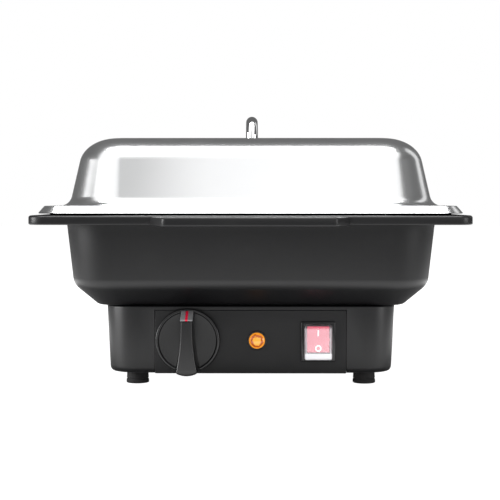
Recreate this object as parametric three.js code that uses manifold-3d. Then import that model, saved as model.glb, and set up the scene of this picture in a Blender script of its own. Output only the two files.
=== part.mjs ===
// Electric buffet server: a heated water basin on a shallow base, with a full-size food pan and a domed lid.
// Millimetres, +Z up, controls facing -Y. The origin is at the middle of the footprint, on the table.

import * as THREE from "three";
import { mergeVertices } from "three/addons/utils/BufferGeometryUtils.js";
import Module from "manifold-3d";

const wasm = await Module();
wasm.setup();

// ---------------------------------------------------------------- clearances
const GAP = 0.3; // between pieces that rest against each other
const RUNNING_GAP = 0.1; // around a shaft or pin that turns

// ---------------------------------------------------------------- food pan
const PAN_WIDTH = 325; // across X, over the flange
const PAN_LENGTH = 530; // along Y, over the flange
const PAN_DEPTH = 65;
const PAN_WALL = 0.8;
const PAN_FLANGE = 11.5; // from the body to the flange's edge
const PAN_FLANGE_CORNER = 20;
const PAN_EDGE = 4.9; // the flange's turned-down edge, which the pan stands on
const PAN_BODY_CORNER = 41; // plan radius at the top of the body
const PAN_DRAFT = 7; // each wall leans in this much
const PAN_FILLET = 15;

// ---------------------------------------------------------------- water basin
const BASIN_CLEARANCE = 1; // between the pan's body and the basin's wall
const BASIN_WALL = 3;
const BASIN_HEIGHT = 75.3; // from its underside to the top of its rim
const BASIN_DRAFT = 6.1;
const BASIN_SLANT_REACH = 20.6; // from the flat underside to the foot of the wall
const BASIN_SLANT_RISE = 17.2;
const BASIN_BOTTOM_RADIUS = 6;
const BASIN_WALL_RADIUS = 14; // between the slant and the wall
const RIM_REACH = 22.5; // from the outside of the wall to the rim's edge
const RIM_HEIGHT = 7.5;
const RIM_CORNER = 14;
const RIM_BEVEL = 1;
const SEAT_RISE = 1.2; // the ledge that the pan's edge rests on
const SEAT_MARGIN = 1; // past the pan's flange
const GRIP_ROOT_WIDTH = 160;
const GRIP_TIP_WIDTH = 135;
const GRIP_REACH = 22;
const GRIP_DROP = 1; // the grips sit this much lower than the rim
const GRIP_BEVEL = 1.5;

// ---------------------------------------------------------------- lid
const LID_WALL = 0.8;
const LID_OVERHANG = 4.2; // past the pan's flange
const LID_SKIRT_REACH = 5;
const LID_SKIRT_DROP = 5.6;
const LID_RIM_CORNER = 16;
const LID_RISE = 56.6; // from the lid's rim to its top
const DOME_INSET = 13.7; // from the rim's edge to the foot of the dome
const DOME_CORNER = 48;
const DOME_LEAN = 8.5; // each side leans in this much below the shoulder
const DOME_FOOT_RADIUS = 10;
const DOME_SHOULDER_REACH = 31;
const DOME_SHOULDER_DROP = 23;

// ---------------------------------------------------------------- lid handle
const HANDLE_SPAN = 150; // between the legs
const HANDLE_HEIGHT = 27.7; // over the lid
const HANDLE_ROD = 11;
const HANDLE_BEND = 14;
const HANDLE_FOOT_RADIUS = 9;
const HANDLE_FOOT_THICKNESS = 1.5;
const STUD_RADIUS = 3;
const WASHER_RADIUS = 8;
const WASHER_THICKNESS = 1.5;
const NUT_RADIUS = 5.8;
const NUT_THICKNESS = 5;
const STUD_PAST_NUT = 1.5;

// ---------------------------------------------------------------- base housing
const BASE_WIDTH = 243;
const BASE_LENGTH = 470;
const BASE_HEIGHT = 55.9;
const BASE_WALL = 3;
const BASE_CORNER = 27;
const BASE_DRAFT = 2.4;
const BASE_TOP_BEVEL = 1.2;
const BASE_BOTTOM_BEVEL = 3.5;
const DECK_OPENING_WIDTH = 170; // square hole under the heater
const DECK_OPENING_CORNER = 20;
const BASE_PLATE_THICKNESS = 2;
const BASE_PLATE_RECESS = 1; // above the housing's lower edge
const BASE_PLATE_MARGIN = 0.9;

// ---------------------------------------------------------------- feet and screws
const FOOT_HEIGHT = 11.2; // from the table to the housing's lower edge
const FOOT_RADIUS = 9.7;
const FOOT_TOP_RADIUS = 8.8;
const FOOT_X = 96.2;
const FOOT_INSET = 28; // from the housing's end walls
const SCREW_RADIUS = 1.9;
const SCREW_HEAD_RADIUS = 3.8;
const SCREW_HEAD_THICKNESS = 2.4;
const FOOT_COUNTERBORE_DEPTH = 4.5;
const FOOT_SCREW_RECESS = 1.8; // from the table to the screw's head
const FOOT_SCREW_LENGTH = 32;
const BOSS_RADIUS = 5;
const BASIN_SCREW_X = 101;
const BASIN_SCREW_Y = 150;
const BASIN_BOSS_HEIGHT = 7; // above the basin's floor
const BASIN_SCREW_BITE = 7.5; // into the basin's boss

// ---------------------------------------------------------------- heater
const HEATER_RADIUS = 82;
const HEATER_THICKNESS = 1.5;
const HEATER_OPENING_RADIUS = 70; // in the basin's floor
const GASKET_THICKNESS = 1.4;
const GASKET_MARGIN = 1.5;
const HEATER_STUD_COUNT = 3;
const HEATER_STUD_RADIUS = 2;
const HEATER_NUT_RADIUS = 4;
const HEATER_NUT_THICKNESS = 3.2;
const ELEMENT_RING_RADIUS = 50;
const ELEMENT_ROD = 6.5;
const ELEMENT_CLEARANCE = 0.8; // under the heater plate
const ELEMENT_OPEN_ANGLE = 60; // degrees without rod, at the back
const ELEMENT_LEG = 26;
const SHIELD_DEPTH = 15;
const SHIELD_WALL = 1.2;
const SHIELD_BODY_RADIUS = 71;
const INSULATION_THICKNESS = 5;
const CUTOUT_RADIUS = 8;
const CUTOUT_HEIGHT = 9;
const BULB_RADIUS = 3;
const BULB_LENGTH = 56;
const BULB_X = -24;
const CAPILLARY_BEND = 7; // from the bulb's end to where the capillary drops
const CAPILLARY_RADIUS = 1.2;
const PASSAGE_RADIUS = 5; // holes that legs and capillary pass through

// ---------------------------------------------------------------- control panel
const PANEL_WIDTH = 159.2;
const PANEL_SETBACK = 0.4; // behind the top edge of the front wall
const PANEL_EDGE_GAP = 0.4;
const PANEL_LIP_WIDTH = 6; // behind the wall, on each side
const PANEL_LIP_THICKNESS = 2;
const PANEL_LIP_CLEARANCE = 4; // over the lower edge

// ---------------------------------------------------------------- thermostat and knob
const KNOB_X = -51.9;
const KNOB_Z = 38.7;
const KNOB_RADIUS = 27;
const KNOB_FACE_RADIUS = 26.2;
const KNOB_SKIRT = 5;
const KNOB_RING = 1.8;
const KNOB_RING_RISE = 0.9;
const KNOB_FACE = 1.3;
const KNOB_STANDOFF = 0.8; // between the panel and the knob
const KNOB_HEIGHT = 23;
const KNOB_HOLLOW_RADIUS = 20;
const BAR_TOP_HALF = 4.8;
const BAR_WAIST_HALF = 4.6;
const BAR_FOOT_HALF = 9.6;
const BAR_FOOT_REACH = 26.4;
const BAR_TAPER = 0.2; // share of the bar's width lost towards its front
const INSERT_THICKNESS = 1.4;
const INSERT_RUN = 7; // how far down the bar the sloping end reaches
const SHAFT_RADIUS = 3;
const SHAFT_DEPTH_IN_KNOB = 12;
const SHAFT_DEPTH_IN_BODY = 8;
const SHAFT_HOLE_RADIUS = 5.5;
const THERMOSTAT_SIZE = 34;
const THERMOSTAT_LENGTH = 30;
const THERMOSTAT_SCREW_SPREAD = 28;

// ---------------------------------------------------------------- pilot lamp
const LAMP_X = 5.3;
const LAMP_Z = 38.7;
const LENS_RADIUS = 6.9;
const LENS_HEIGHT = 4;
const LAMP_BEZEL_RADIUS = 8;
const LAMP_BEZEL_THICKNESS = 1.3;
const LAMP_BARREL_RADIUS = 5.8;
const LAMP_LENGTH = 22;
const LAMP_NUT_RADIUS = 9;
const LAMP_NUT_THICKNESS = 3.5;

// ---------------------------------------------------------------- rocker switch
const SWITCH_X = 55.9;
const SWITCH_Z = 37.85;
const SWITCH_BEZEL_WIDTH = 28.5;
const SWITCH_BEZEL_HEIGHT = 32.9;
const SWITCH_BEZEL_THICKNESS = 2.7;
const SWITCH_BODY_MARGIN = 1.5; // the body is this much inside the bezel
const SWITCH_DEPTH = 24;
const COVER_WIDTH = 22.4;
const COVER_HEIGHT = 29;
const COVER_WALL = 1.3;
const COVER_FRONT = 9; // in front of the panel
const ROCKER_WIDTH = 18.4;
const ROCKER_HEIGHT = 21.4;
const ROCKER_OFFSET = 1.3; // over the middle of the switch
const ROCKER_TILT = 8; // degrees either way from level
const ROCKER_PIVOT_OUT = -2; // from the panel's face
const ROCKER_PIN_RADIUS = 1.5;
const ROCKER_PIN_REACH = 1.2;
const ROCKER_WELL_MARGIN = 0.8;
const ROCKER_WELL_DEPTH = 9;

// ---------------------------------------------------------------- power entry and wiring
const GLAND_X = -60;
const GLAND_Z = 38;
const GLAND_BORE_RADIUS = 4.6;
const GLAND_BARREL_RADIUS = 8;
const GLAND_HEX_RADIUS = 12;
const GLAND_HEX_THICKNESS = 6;
const GLAND_DOME_RADIUS = 9.5;
const GLAND_DOME_LENGTH = 10;
const GLAND_NUT_THICKNESS = 5;
const GLAND_BARREL_LENGTH = 14; // inside the wall's outer face
const TERMINAL_WIDTH = 34;
const TERMINAL_LENGTH = 20;
const TERMINAL_HEIGHT = 16;
const TERMINAL_Y = 190;
const LEAD_RADIUS = 1.4;
const LEAD_GAP = 0.8; // between a lead's end and what it plugs into

const CORNER_STEPS = 6; // facets in each plan corner
const ROUND = 20; // facets round a small part
const LARGE_ROUND = 40; // facets round the heater's discs and the knob
const FINE_ROUND = 10; // facets round a screw or its hole

// ---------------------------------------------------------------- derived heights
const baseBottom = FOOT_HEIGHT;
const baseTop = baseBottom + BASE_HEIGHT;
const basinBottom = baseTop + GAP;
const basinFloor = basinBottom + BASIN_WALL;
const rimTop = basinBottom + BASIN_HEIGHT;
const seatTop = rimTop + SEAT_RISE;
const panEdgeBottom = seatTop + GAP;
const panFlangeTop = panEdgeBottom + PAN_EDGE;
const panFlangeBottom = panFlangeTop - PAN_WALL;
const panBottom = panFlangeTop - PAN_DEPTH;
const lidRimTop = panFlangeTop + GAP + LID_WALL;
const lidTop = lidRimTop + LID_RISE;
const basePlateBottom = baseBottom + BASE_PLATE_RECESS;
const basePlateTop = basePlateBottom + BASE_PLATE_THICKNESS;

// ---------------------------------------------------------------- derived half widths
const stretch = (PAN_LENGTH - PAN_WIDTH) / 2; // every outline above the base is this much longer along Y
const baseStretch = (BASE_LENGTH - BASE_WIDTH) / 2;
const panFlangeHalf = PAN_WIDTH / 2;
const panBodyHalf = panFlangeHalf - PAN_FLANGE;
const basinInnerHalf = panBodyHalf + BASIN_CLEARANCE;
const basinOuterHalf = basinInnerHalf + BASIN_WALL;
const basinCornerCentre = panBodyHalf - PAN_BODY_CORNER;
const rimHalf = basinOuterHalf + RIM_REACH;
const rimLength = 2 * (rimHalf + stretch);
const lidRimHalf = panFlangeHalf + LID_OVERHANG;
const baseHalf = BASE_WIDTH / 2;

// ---------------------------------------------------------------- materials
function finish(color, roughness, metalness = 0, opacity = 1) {
  const transparent = opacity < 1;
  return new THREE.MeshStandardMaterial({ color, roughness, metalness, opacity, transparent });
}

const blackPlastic = finish(0x262629, 0.45);
const glossBlack = finish(0x1b1b1d, 0.3);
const greyPlastic = finish(0x8a8c8e, 0.5);
const creamPlastic = finish(0xd8d2c4, 0.6);
const brushedSteel = finish(0xc9cccf, 0.3, 1);
const polishedSteel = finish(0xd8dadd, 0.12, 1);
const zincSteel = finish(0xa8abaf, 0.4, 1);
const aluminium = finish(0xb5b8ba, 0.35, 1);
const copper = finish(0xb4714a, 0.35, 1);
const blackRubber = finish(0x18181a, 0.85);
const redSilicone = finish(0x9c3b2c, 0.7);
const mineralWool = finish(0xcfc9b8, 0.95);
const amberLens = finish(0xf08a1c, 0.2, 0, 0.9);
const pinkRocker = finish(0xef6f80, 0.35);
const clearSilicone = finish(0xe8eaec, 0.2, 0, 0.35);
const insulatedLead = finish(0x7d4a2a, 0.6);

// ---------------------------------------------------------------- solids
const degrees = THREE.MathUtils.degToRad;

/** A manifold-3d solid of a closed three.js geometry. */
function toSolid(geometry) {
  const bare = geometry.clone();
  bare.deleteAttribute("normal");
  bare.deleteAttribute("uv");
  const merged = mergeVertices(bare, 1e-4);
  const vertProperties = new Float32Array(merged.attributes.position.array);
  const triVerts = new Uint32Array(merged.index.array);
  return new wasm.Manifold(new wasm.Mesh({ numProp: 3, vertProperties, triVerts }));
}

/** The three.js geometry of a manifold-3d solid. */
function toGeometry(solid) {
  const { vertProperties, triVerts } = solid.getMesh();
  const geometry = new THREE.BufferGeometry();
  geometry.setAttribute("position", new THREE.BufferAttribute(vertProperties, 3));
  geometry.setIndex(new THREE.BufferAttribute(triVerts, 1));
  const faceted = geometry.toNonIndexed();
  faceted.computeVertexNormals();
  return faceted;
}

/** One geometry of several that overlap. */
function unite(first, ...others) {
  return toGeometry(others.reduce((whole, piece) => whole.add(toSolid(piece)), toSolid(first)));
}

/** A geometry with others cut out of it. */
function cut(body, ...tools) {
  return toGeometry(tools.reduce((rest, tool) => rest.subtract(toSolid(tool)), toSolid(body)));
}

/** A box between two corners. */
function box([x0, y0, z0], [x1, y1, z1]) {
  const geometry = new THREE.BoxGeometry(x1 - x0, y1 - y0, z1 - z0);
  return geometry.translate((x0 + x1) / 2, (y0 + y1) / 2, (z0 + z1) / 2);
}

/** A cylinder or cone along +Z, from one height to another, centred on x and y. */
function round(radius, from, to, { x = 0, y = 0, topRadius = radius, sides = ROUND } = {}) {
  const geometry = new THREE.CylinderGeometry(topRadius, radius, to - from, sides);
  return geometry.rotateX(Math.PI / 2).translate(x, y, (from + to) / 2);
}

/** A flat ring along +Z. */
function ring(radius, innerRadius, from, to, sides = ROUND) {
  const profile = [[innerRadius, from], [radius, from], [radius, to], [innerRadius, to], [innerRadius, from]];
  return turned(profile, sides);
}

/** A solid of revolution about +Z, from a profile of radius and height. */
function turned(profile, sides = ROUND) {
  const points = profile.map(([radius, height]) => new THREE.Vector2(radius, height));
  return new THREE.LatheGeometry(points, sides).rotateX(Math.PI / 2);
}

/** A six-sided nut with a plain bore, along +Z. */
function hexNut(radius, boreRadius, from, to) {
  return cut(round(radius, from, to, { sides: 6 }), round(boreRadius, from - 1, to + 1, { sides: 16 }));
}

/** A round rod along a smooth line through the points. */
function rod(points, radius, steps, halfSides = 4) {
  const section = new THREE.Shape().absarc(0, 0, radius, 0, 2 * Math.PI);
  const extrudePath = new THREE.CatmullRomCurve3(points, false, "centripetal");
  return new THREE.ExtrudeGeometry(section, { steps, curveSegments: halfSides, extrudePath });
}

// ---------------------------------------------------------------- lofted shells
/** A stop of a profile: the outline's half width, its height and its plan corner radius. */
function stop(half, z, corner) {
  return { half, z, corner };
}

/** Stops round a quarter of an ellipse or part of one, whose plan corners share one centre. */
function arcStops({ half, z, reach, rise = reach, from, to, steps, cornerCentre }) {
  const stops = [];
  for (let step = 0; step <= steps; step += 1) {
    const angle = degrees(from + ((to - from) * step) / steps);
    const stopHalf = half + reach * Math.cos(angle);
    stops.push(stop(stopHalf, z + rise * Math.sin(angle), stopHalf - cornerCentre));
  }
  return stops;
}

/** The line through corners of [half, z, radius], as points with each corner rounded. */
function roundedLine(corners, steps) {
  return corners.flatMap(([half, z, radius], index) => {
    const corner = new THREE.Vector2(half, z);
    if (radius === 0) return [corner];
    const toward = (other) => new THREE.Vector2(other[0], other[1]).sub(corner).normalize();
    const back = toward(corners[index - 1]);
    const onward = toward(corners[index + 1]);
    const halfAngle = Math.acos(back.dot(onward)) / 2;
    const centre = back.clone().add(onward).normalize().multiplyScalar(radius / Math.sin(halfAngle)).add(corner);
    const start = back.clone().multiplyScalar(radius / Math.tan(halfAngle)).add(corner);
    const turn = Math.sign(onward.cross(back)) * (Math.PI - 2 * halfAngle);
    const points = [];
    for (let step = 0; step <= steps; step += 1) {
      points.push(start.clone().rotateAround(centre, (turn * step) / steps));
    }
    return points;
  });
}

/** The same stops, moved by a wall's thickness to the left of the direction they run in. */
function offsetStops(stops, wall) {
  return stops.map(({ half, z, corner }, index) => {
    const before = stops[Math.max(index - 1, 0)];
    const after = stops[Math.min(index + 1, stops.length - 1)];
    const into = new THREE.Vector2(half - before.half, z - before.z).normalize();
    const out = new THREE.Vector2(after.half - half, after.z - z).normalize();
    const along = into.clone().add(out).normalize();
    const straightest = index === 0 ? out : into;
    const share = wall / along.dot(straightest);
    return stop(half - along.y * share, z + along.x * share, corner - along.y * share);
  });
}

/** The rounded rectangle of one stop, as points counter-clockwise from above. */
function outline({ half, z, corner }, lengthStretch) {
  const points = [];
  const quarters = [[1, 1], [-1, 1], [-1, -1], [1, -1]];
  quarters.forEach(([signX, signY], quarter) => {
    const centreX = signX * (half - corner);
    const centreY = signY * (half + lengthStretch - corner);
    for (let step = 0; step <= CORNER_STEPS; step += 1) {
      const angle = ((quarter + step / CORNER_STEPS) * Math.PI) / 2;
      points.push(centreX + corner * Math.cos(angle), centreY + corner * Math.sin(angle), z);
    }
  });
  return points;
}

/** A closed solid through the stops: capped at both ends, or joined end to end. */
function loft(stops, lengthStretch, joined = false) {
  const count = 4 * (CORNER_STEPS + 1);
  const index = [];
  const bands = joined ? stops.length : stops.length - 1;
  for (let band = 0; band < bands; band += 1) {
    const low = band * count;
    const high = ((band + 1) % stops.length) * count;
    for (let side = 0; side < count; side += 1) {
      const next = (side + 1) % count;
      index.push(low + side, low + next, high + next);
      index.push(low + side, high + next, high + side);
    }
  }
  const last = (stops.length - 1) * count;
  for (let side = 1; !joined && side < count - 1; side += 1) {
    index.push(0, side + 1, side);
    index.push(last, last + side, last + side + 1);
  }
  const positions = stops.flatMap((one) => outline(one, lengthStretch));
  const geometry = new THREE.BufferGeometry();
  geometry.setAttribute("position", new THREE.Float32BufferAttribute(positions, 3));
  geometry.setIndex(index);
  const faceted = geometry.toNonIndexed();
  faceted.computeVertexNormals();
  return faceted;
}

// ---------------------------------------------------------------- the assembly
const server = new THREE.Group();

/** The controls are drawn face on: x to the right, y up, z out of the panel's front. */
const panelFront = -(baseHalf + baseStretch) + PANEL_SETBACK;
const controls = new THREE.Group();
controls.rotation.x = Math.PI / 2;
controls.position.y = panelFront;
server.add(controls);

function add(name, geometry, material, parent = server) {
  const mesh = new THREE.Mesh(geometry, material);
  mesh.name = name;
  parent.add(mesh);
  return mesh;
}

/** The four places that mirror x and y, each with the words for its name. */
function mirrored(x, y) {
  return [
    { x: -x, y: -y, place: "front_left" },
    { x, y: -y, place: "front_right" },
    { x: -x, y, place: "rear_left" },
    { x, y, place: "rear_right" },
  ];
}

const footPlaces = mirrored(FOOT_X, baseHalf + baseStretch - FOOT_INSET);
const basinScrewPlaces = mirrored(BASIN_SCREW_X, BASIN_SCREW_Y);

/** Even places round a circle, starting at the front. */
function placesRound(radius, count) {
  return Array.from({ length: count }, (_, index) => {
    const angle = -Math.PI / 2 + (index * 2 * Math.PI) / count;
    return { x: radius * Math.cos(angle), y: radius * Math.sin(angle) };
  });
}

const heaterFlangeMiddle = (HEATER_RADIUS + HEATER_OPENING_RADIUS) / 2;
const heaterStudPlaces = placesRound(heaterFlangeMiddle, HEATER_STUD_COUNT);
const heaterUnderside = basinFloor + GAP + GASKET_THICKNESS + GAP;

// ---------------------------------------------------------------- water basin
function gripOutline(inset) {
  const root = GRIP_ROOT_WIDTH / 2 - inset;
  const tip = GRIP_TIP_WIDTH / 2 - inset;
  const innerEdge = rimLength / 2 - 2 * RIM_BEVEL;
  const outerEdge = rimLength / 2 + GRIP_REACH - inset;
  const shape = new THREE.Shape();
  shape.moveTo(-root, -innerEdge);
  shape.lineTo(-tip, -outerEdge);
  shape.lineTo(tip, -outerEdge);
  shape.lineTo(root, -innerEdge);
  shape.closePath();
  return shape;
}

/** A grip: a hollow tongue of the rim at one end, open below. */
function grip(rotation) {
  const skin = BASIN_WALL;
  const block = new THREE.ExtrudeGeometry(gripOutline(GRIP_BEVEL), {
    depth: RIM_HEIGHT - 2 * GRIP_BEVEL,
    bevelSize: GRIP_BEVEL,
    bevelThickness: GRIP_BEVEL,
    bevelSegments: 2,
  });
  block.translate(0, 0, rimTop - GRIP_DROP - RIM_HEIGHT + GRIP_BEVEL);
  const pocket = new THREE.ExtrudeGeometry(gripOutline(2 * skin), { depth: RIM_HEIGHT, bevelEnabled: false });
  pocket.translate(0, 0, rimTop - GRIP_DROP - RIM_HEIGHT - skin);
  return cut(block, pocket).rotateZ(rotation);
}

function waterBasin() {
  const bowl = (half, z) => stop(half, z, half - basinCornerCentre);
  const rim = (half, z) => stop(half, z, half - rimHalf + RIM_CORNER);
  const wallFoot = basinOuterHalf - BASIN_DRAFT;
  const flatHalf = wallFoot - BASIN_SLANT_REACH;
  const outside = roundedLine([
    [0, basinBottom, 0],
    [flatHalf, basinBottom, BASIN_BOTTOM_RADIUS],
    [wallFoot, basinBottom + BASIN_SLANT_RISE, BASIN_WALL_RADIUS],
    [basinOuterHalf, rimTop - BASIN_WALL, 0],
  ], 3).slice(1).map(({ x, y }) => bowl(x, y));
  const inside = offsetStops(outside, BASIN_WALL).slice(0, -1);
  const lipBottom = rimTop - RIM_HEIGHT;
  const seatHalf = panFlangeHalf + SEAT_MARGIN;
  const seatCorner = PAN_FLANGE_CORNER + SEAT_MARGIN;
  const shell = loft([
    ...outside,
    rim(rimHalf - BASIN_WALL, rimTop - BASIN_WALL),
    rim(rimHalf - BASIN_WALL, lipBottom),
    rim(rimHalf - RIM_BEVEL, lipBottom),
    rim(rimHalf, lipBottom + RIM_BEVEL),
    rim(rimHalf, rimTop - RIM_BEVEL),
    rim(rimHalf - RIM_BEVEL, rimTop),
    stop(seatHalf + RIM_BEVEL / 2, rimTop, seatCorner + RIM_BEVEL / 2),
    stop(seatHalf, seatTop, seatCorner),
    bowl(basinInnerHalf, seatTop),
    ...inside.reverse(),
  ], stretch);
  const bosses = basinScrewPlaces.map(({ x, y }) => round(
    BOSS_RADIUS,
    basinFloor - BASIN_WALL / 2,
    basinFloor + BASIN_BOSS_HEIGHT,
    { x, y },
  ));
  const screwHoles = basinScrewPlaces.map(({ x, y }) => round(
    SCREW_RADIUS + GAP,
    basinBottom - 1,
    basinBottom + BASIN_SCREW_BITE + GAP,
    { x, y, sides: FINE_ROUND },
  ));
  const studHoles = heaterStudPlaces.map(({ x, y }) => round(
    HEATER_STUD_RADIUS + GAP,
    basinBottom - 1,
    basinFloor + 1,
    { x, y, sides: FINE_ROUND },
  ));
  const heaterOpening = round(HEATER_OPENING_RADIUS, basinBottom - 1, basinFloor + 1, { sides: LARGE_ROUND });
  const moulding = unite(shell, grip(0), grip(Math.PI), ...bosses);
  return cut(moulding, heaterOpening, ...screwHoles, ...studHoles);
}

add("water_basin", waterBasin(), blackPlastic);

// ---------------------------------------------------------------- food pan
function foodPan() {
  const cornerCentre = panBodyHalf - PAN_BODY_CORNER;
  const fillet = arcStops({
    half: panBodyHalf - PAN_DRAFT - PAN_FILLET,
    z: panBottom + PAN_FILLET,
    reach: PAN_FILLET,
    from: -90,
    to: -5,
    steps: 4,
    cornerCentre,
  });
  const underside = [...fillet, stop(panBodyHalf, panFlangeBottom, panBodyHalf - cornerCentre)];
  const topside = offsetStops([...underside, stop(panFlangeHalf, panFlangeBottom, PAN_FLANGE_CORNER)], PAN_WALL);
  const edgeInside = (z) => stop(panFlangeHalf - PAN_WALL, z, PAN_FLANGE_CORNER - PAN_WALL);
  return loft([
    ...underside,
    edgeInside(panFlangeBottom),
    edgeInside(panEdgeBottom),
    stop(panFlangeHalf, panEdgeBottom, PAN_FLANGE_CORNER),
    ...topside.reverse(),
  ], stretch);
}

add("food_pan", foodPan(), brushedSteel);

// ---------------------------------------------------------------- lid
const handleLegs = [{ y: -HANDLE_SPAN / 2, place: "front" }, { y: HANDLE_SPAN / 2, place: "rear" }];

function lidShell() {
  const footHalf = lidRimHalf - DOME_INSET;
  const cornerCentre = footHalf - DOME_CORNER;
  const shoulderHalf = footHalf - DOME_LEAN;
  const shoulderHeight = lidTop - DOME_SHOULDER_DROP;
  const wall = roundedLine([
    [lidRimHalf, lidRimTop, 0],
    [footHalf, lidRimTop, DOME_FOOT_RADIUS],
    [shoulderHalf, shoulderHeight, 0],
  ], 3).slice(1, -1);
  const outside = [
    stop(lidRimHalf + LID_SKIRT_REACH, lidRimTop - LID_SKIRT_DROP, LID_RIM_CORNER + LID_SKIRT_REACH),
    stop(lidRimHalf, lidRimTop, LID_RIM_CORNER),
    ...wall.map(({ x, y }) => stop(x, y, x - cornerCentre)),
    ...arcStops({
      half: shoulderHalf - DOME_SHOULDER_REACH,
      z: shoulderHeight,
      reach: DOME_SHOULDER_REACH,
      rise: DOME_SHOULDER_DROP,
      from: 10,
      to: 90,
      steps: 8,
      cornerCentre,
    }),
  ];
  const shell = loft([...offsetStops(outside, LID_WALL).reverse(), ...outside], stretch);
  const holes = handleLegs.map(({ y }) => round(
    STUD_RADIUS + GAP,
    lidTop - 2 * LID_WALL,
    lidTop + 1,
    { y, sides: 16 },
  ));
  return cut(shell, ...holes);
}

add("lid_shell", lidShell(), brushedSteel);

const handleBottom = lidTop + GAP;
const washerTop = lidTop - LID_WALL - GAP;
const handleNutTop = washerTop - WASHER_THICKNESS - GAP;
const studBottom = handleNutTop - NUT_THICKNESS - STUD_PAST_NUT;

/** The handle's centre line: a leg, a bend, the bar, a bend and a leg. */
function handleLine() {
  const barHeight = lidTop + HANDLE_HEIGHT - HANDLE_ROD / 2;
  const bendY = HANDLE_SPAN / 2 - HANDLE_BEND;
  const bendZ = barHeight - HANDLE_BEND;
  const line = [new THREE.Vector3(0, -HANDLE_SPAN / 2, handleBottom)];
  const bend = (centreY, from, to) => {
    const steps = 4;
    for (let step = 0; step <= steps; step += 1) {
      const angle = degrees(from + ((to - from) * step) / steps);
      const y = centreY + HANDLE_BEND * Math.cos(angle);
      line.push(new THREE.Vector3(0, y, bendZ + HANDLE_BEND * Math.sin(angle)));
    }
  };
  bend(-bendY, 180, 90);
  line.push(new THREE.Vector3(0, -bendY / 2, barHeight));
  line.push(new THREE.Vector3(0, bendY / 2, barHeight));
  bend(bendY, 90, 0);
  line.push(new THREE.Vector3(0, HANDLE_SPAN / 2, handleBottom));
  return line;
}

function lidHandle() {
  const pieces = [rod(handleLine(), HANDLE_ROD / 2, 36, 6)];
  handleLegs.forEach(({ y }) => {
    pieces.push(round(HANDLE_FOOT_RADIUS, handleBottom, handleBottom + HANDLE_FOOT_THICKNESS, { y }));
    pieces.push(round(STUD_RADIUS, studBottom, handleBottom + HANDLE_FOOT_THICKNESS / 2, { y, sides: 16 }));
  });
  return unite(...pieces);
}

add("lid_handle", lidHandle(), polishedSteel);

handleLegs.forEach(({ y, place }) => {
  const boreRadius = STUD_RADIUS + GAP;
  const washer = ring(WASHER_RADIUS, boreRadius, washerTop - WASHER_THICKNESS, washerTop, 16);
  add(`handle_washer_${place}`, washer, zincSteel).position.y = y;
  const nut = hexNut(NUT_RADIUS, boreRadius, handleNutTop - NUT_THICKNESS, handleNutTop);
  add(`handle_nut_${place}`, nut, zincSteel).position.y = y;
});

// ---------------------------------------------------------------- base housing
const panelHalf = PANEL_WIDTH / 2;
const glandWallFace = baseHalf + baseStretch + GAP;

function baseHousing() {
  const cornerCentre = baseHalf - BASE_CORNER;
  const wall = (half, z) => stop(half, z, half - cornerCentre);
  const lowerHalf = baseHalf - BASE_DRAFT;
  const openingHalf = DECK_OPENING_WIDTH / 2;
  const deckBottom = baseTop - BASE_WALL;
  const shell = loft([
    wall(lowerHalf - BASE_WALL, baseBottom),
    wall(lowerHalf - BASE_BOTTOM_BEVEL / 2, baseBottom),
    wall(lowerHalf, baseBottom + BASE_BOTTOM_BEVEL),
    wall(baseHalf, baseTop - BASE_TOP_BEVEL),
    wall(baseHalf - BASE_TOP_BEVEL, baseTop),
    stop(openingHalf, baseTop, DECK_OPENING_CORNER),
    stop(openingHalf, deckBottom, DECK_OPENING_CORNER),
    wall(baseHalf - BASE_WALL, deckBottom),
  ], baseStretch, true);
  const bosses = footPlaces.map(({ x, y }) => round(
    BOSS_RADIUS,
    basePlateTop + GAP,
    baseTop - BASE_WALL / 2,
    { x, y, sides: 16 },
  ));
  const bores = footPlaces.map(({ x, y }) => round(
    SCREW_RADIUS + GAP,
    basePlateTop,
    FOOT_SCREW_RECESS + SCREW_HEAD_THICKNESS + FOOT_SCREW_LENGTH + GAP,
    { x, y, sides: FINE_ROUND },
  ));
  const deckHoles = basinScrewPlaces.map(({ x, y }) => round(
    SCREW_RADIUS + GAP,
    deckBottom - 1,
    baseTop + 1,
    { x, y, sides: FINE_ROUND },
  ));
  const panelOpening = box(
    [-panelHalf, -(baseHalf + baseStretch) - 1, baseBottom - 1],
    [panelHalf, -(baseHalf + baseStretch) + 2 * BASE_WALL, deckBottom],
  );
  const glandHole = round(GLAND_BARREL_RADIUS + GAP, -3 * BASE_WALL, 3 * BASE_WALL);
  glandHole.rotateX(Math.PI / 2).translate(GLAND_X, baseHalf + baseStretch, GLAND_Z);
  return cut(unite(shell, ...bosses), panelOpening, glandHole, ...bores, ...deckHoles);
}

add("base_housing", baseHousing(), blackPlastic);

function basePlate() {
  const half = baseHalf - BASE_DRAFT - BASE_WALL - BASE_PLATE_MARGIN;
  const corner = BASE_CORNER - BASE_DRAFT - BASE_WALL - BASE_PLATE_MARGIN;
  const plate = loft([stop(half, basePlateBottom, corner), stop(half, basePlateTop, corner)], baseStretch);
  const holes = footPlaces.map(({ x, y }) => round(
    SCREW_RADIUS + GAP,
    basePlateBottom - 1,
    basePlateTop + 1,
    { x, y, sides: FINE_ROUND },
  ));
  return cut(plate, ...holes);
}

add("base_plate", basePlate(), zincSteel);

// ---------------------------------------------------------------- feet and screws
function foot() {
  const top = basePlateBottom - GAP;
  const boreRadius = SCREW_RADIUS + GAP;
  const counterboreRadius = SCREW_HEAD_RADIUS + GAP;
  return turned([
    [counterboreRadius, 0],
    [FOOT_RADIUS, 0],
    [FOOT_TOP_RADIUS, top],
    [boreRadius, top],
    [boreRadius, FOOT_COUNTERBORE_DEPTH],
    [counterboreRadius, FOOT_COUNTERBORE_DEPTH],
    [counterboreRadius, 0],
  ]);
}

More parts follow.
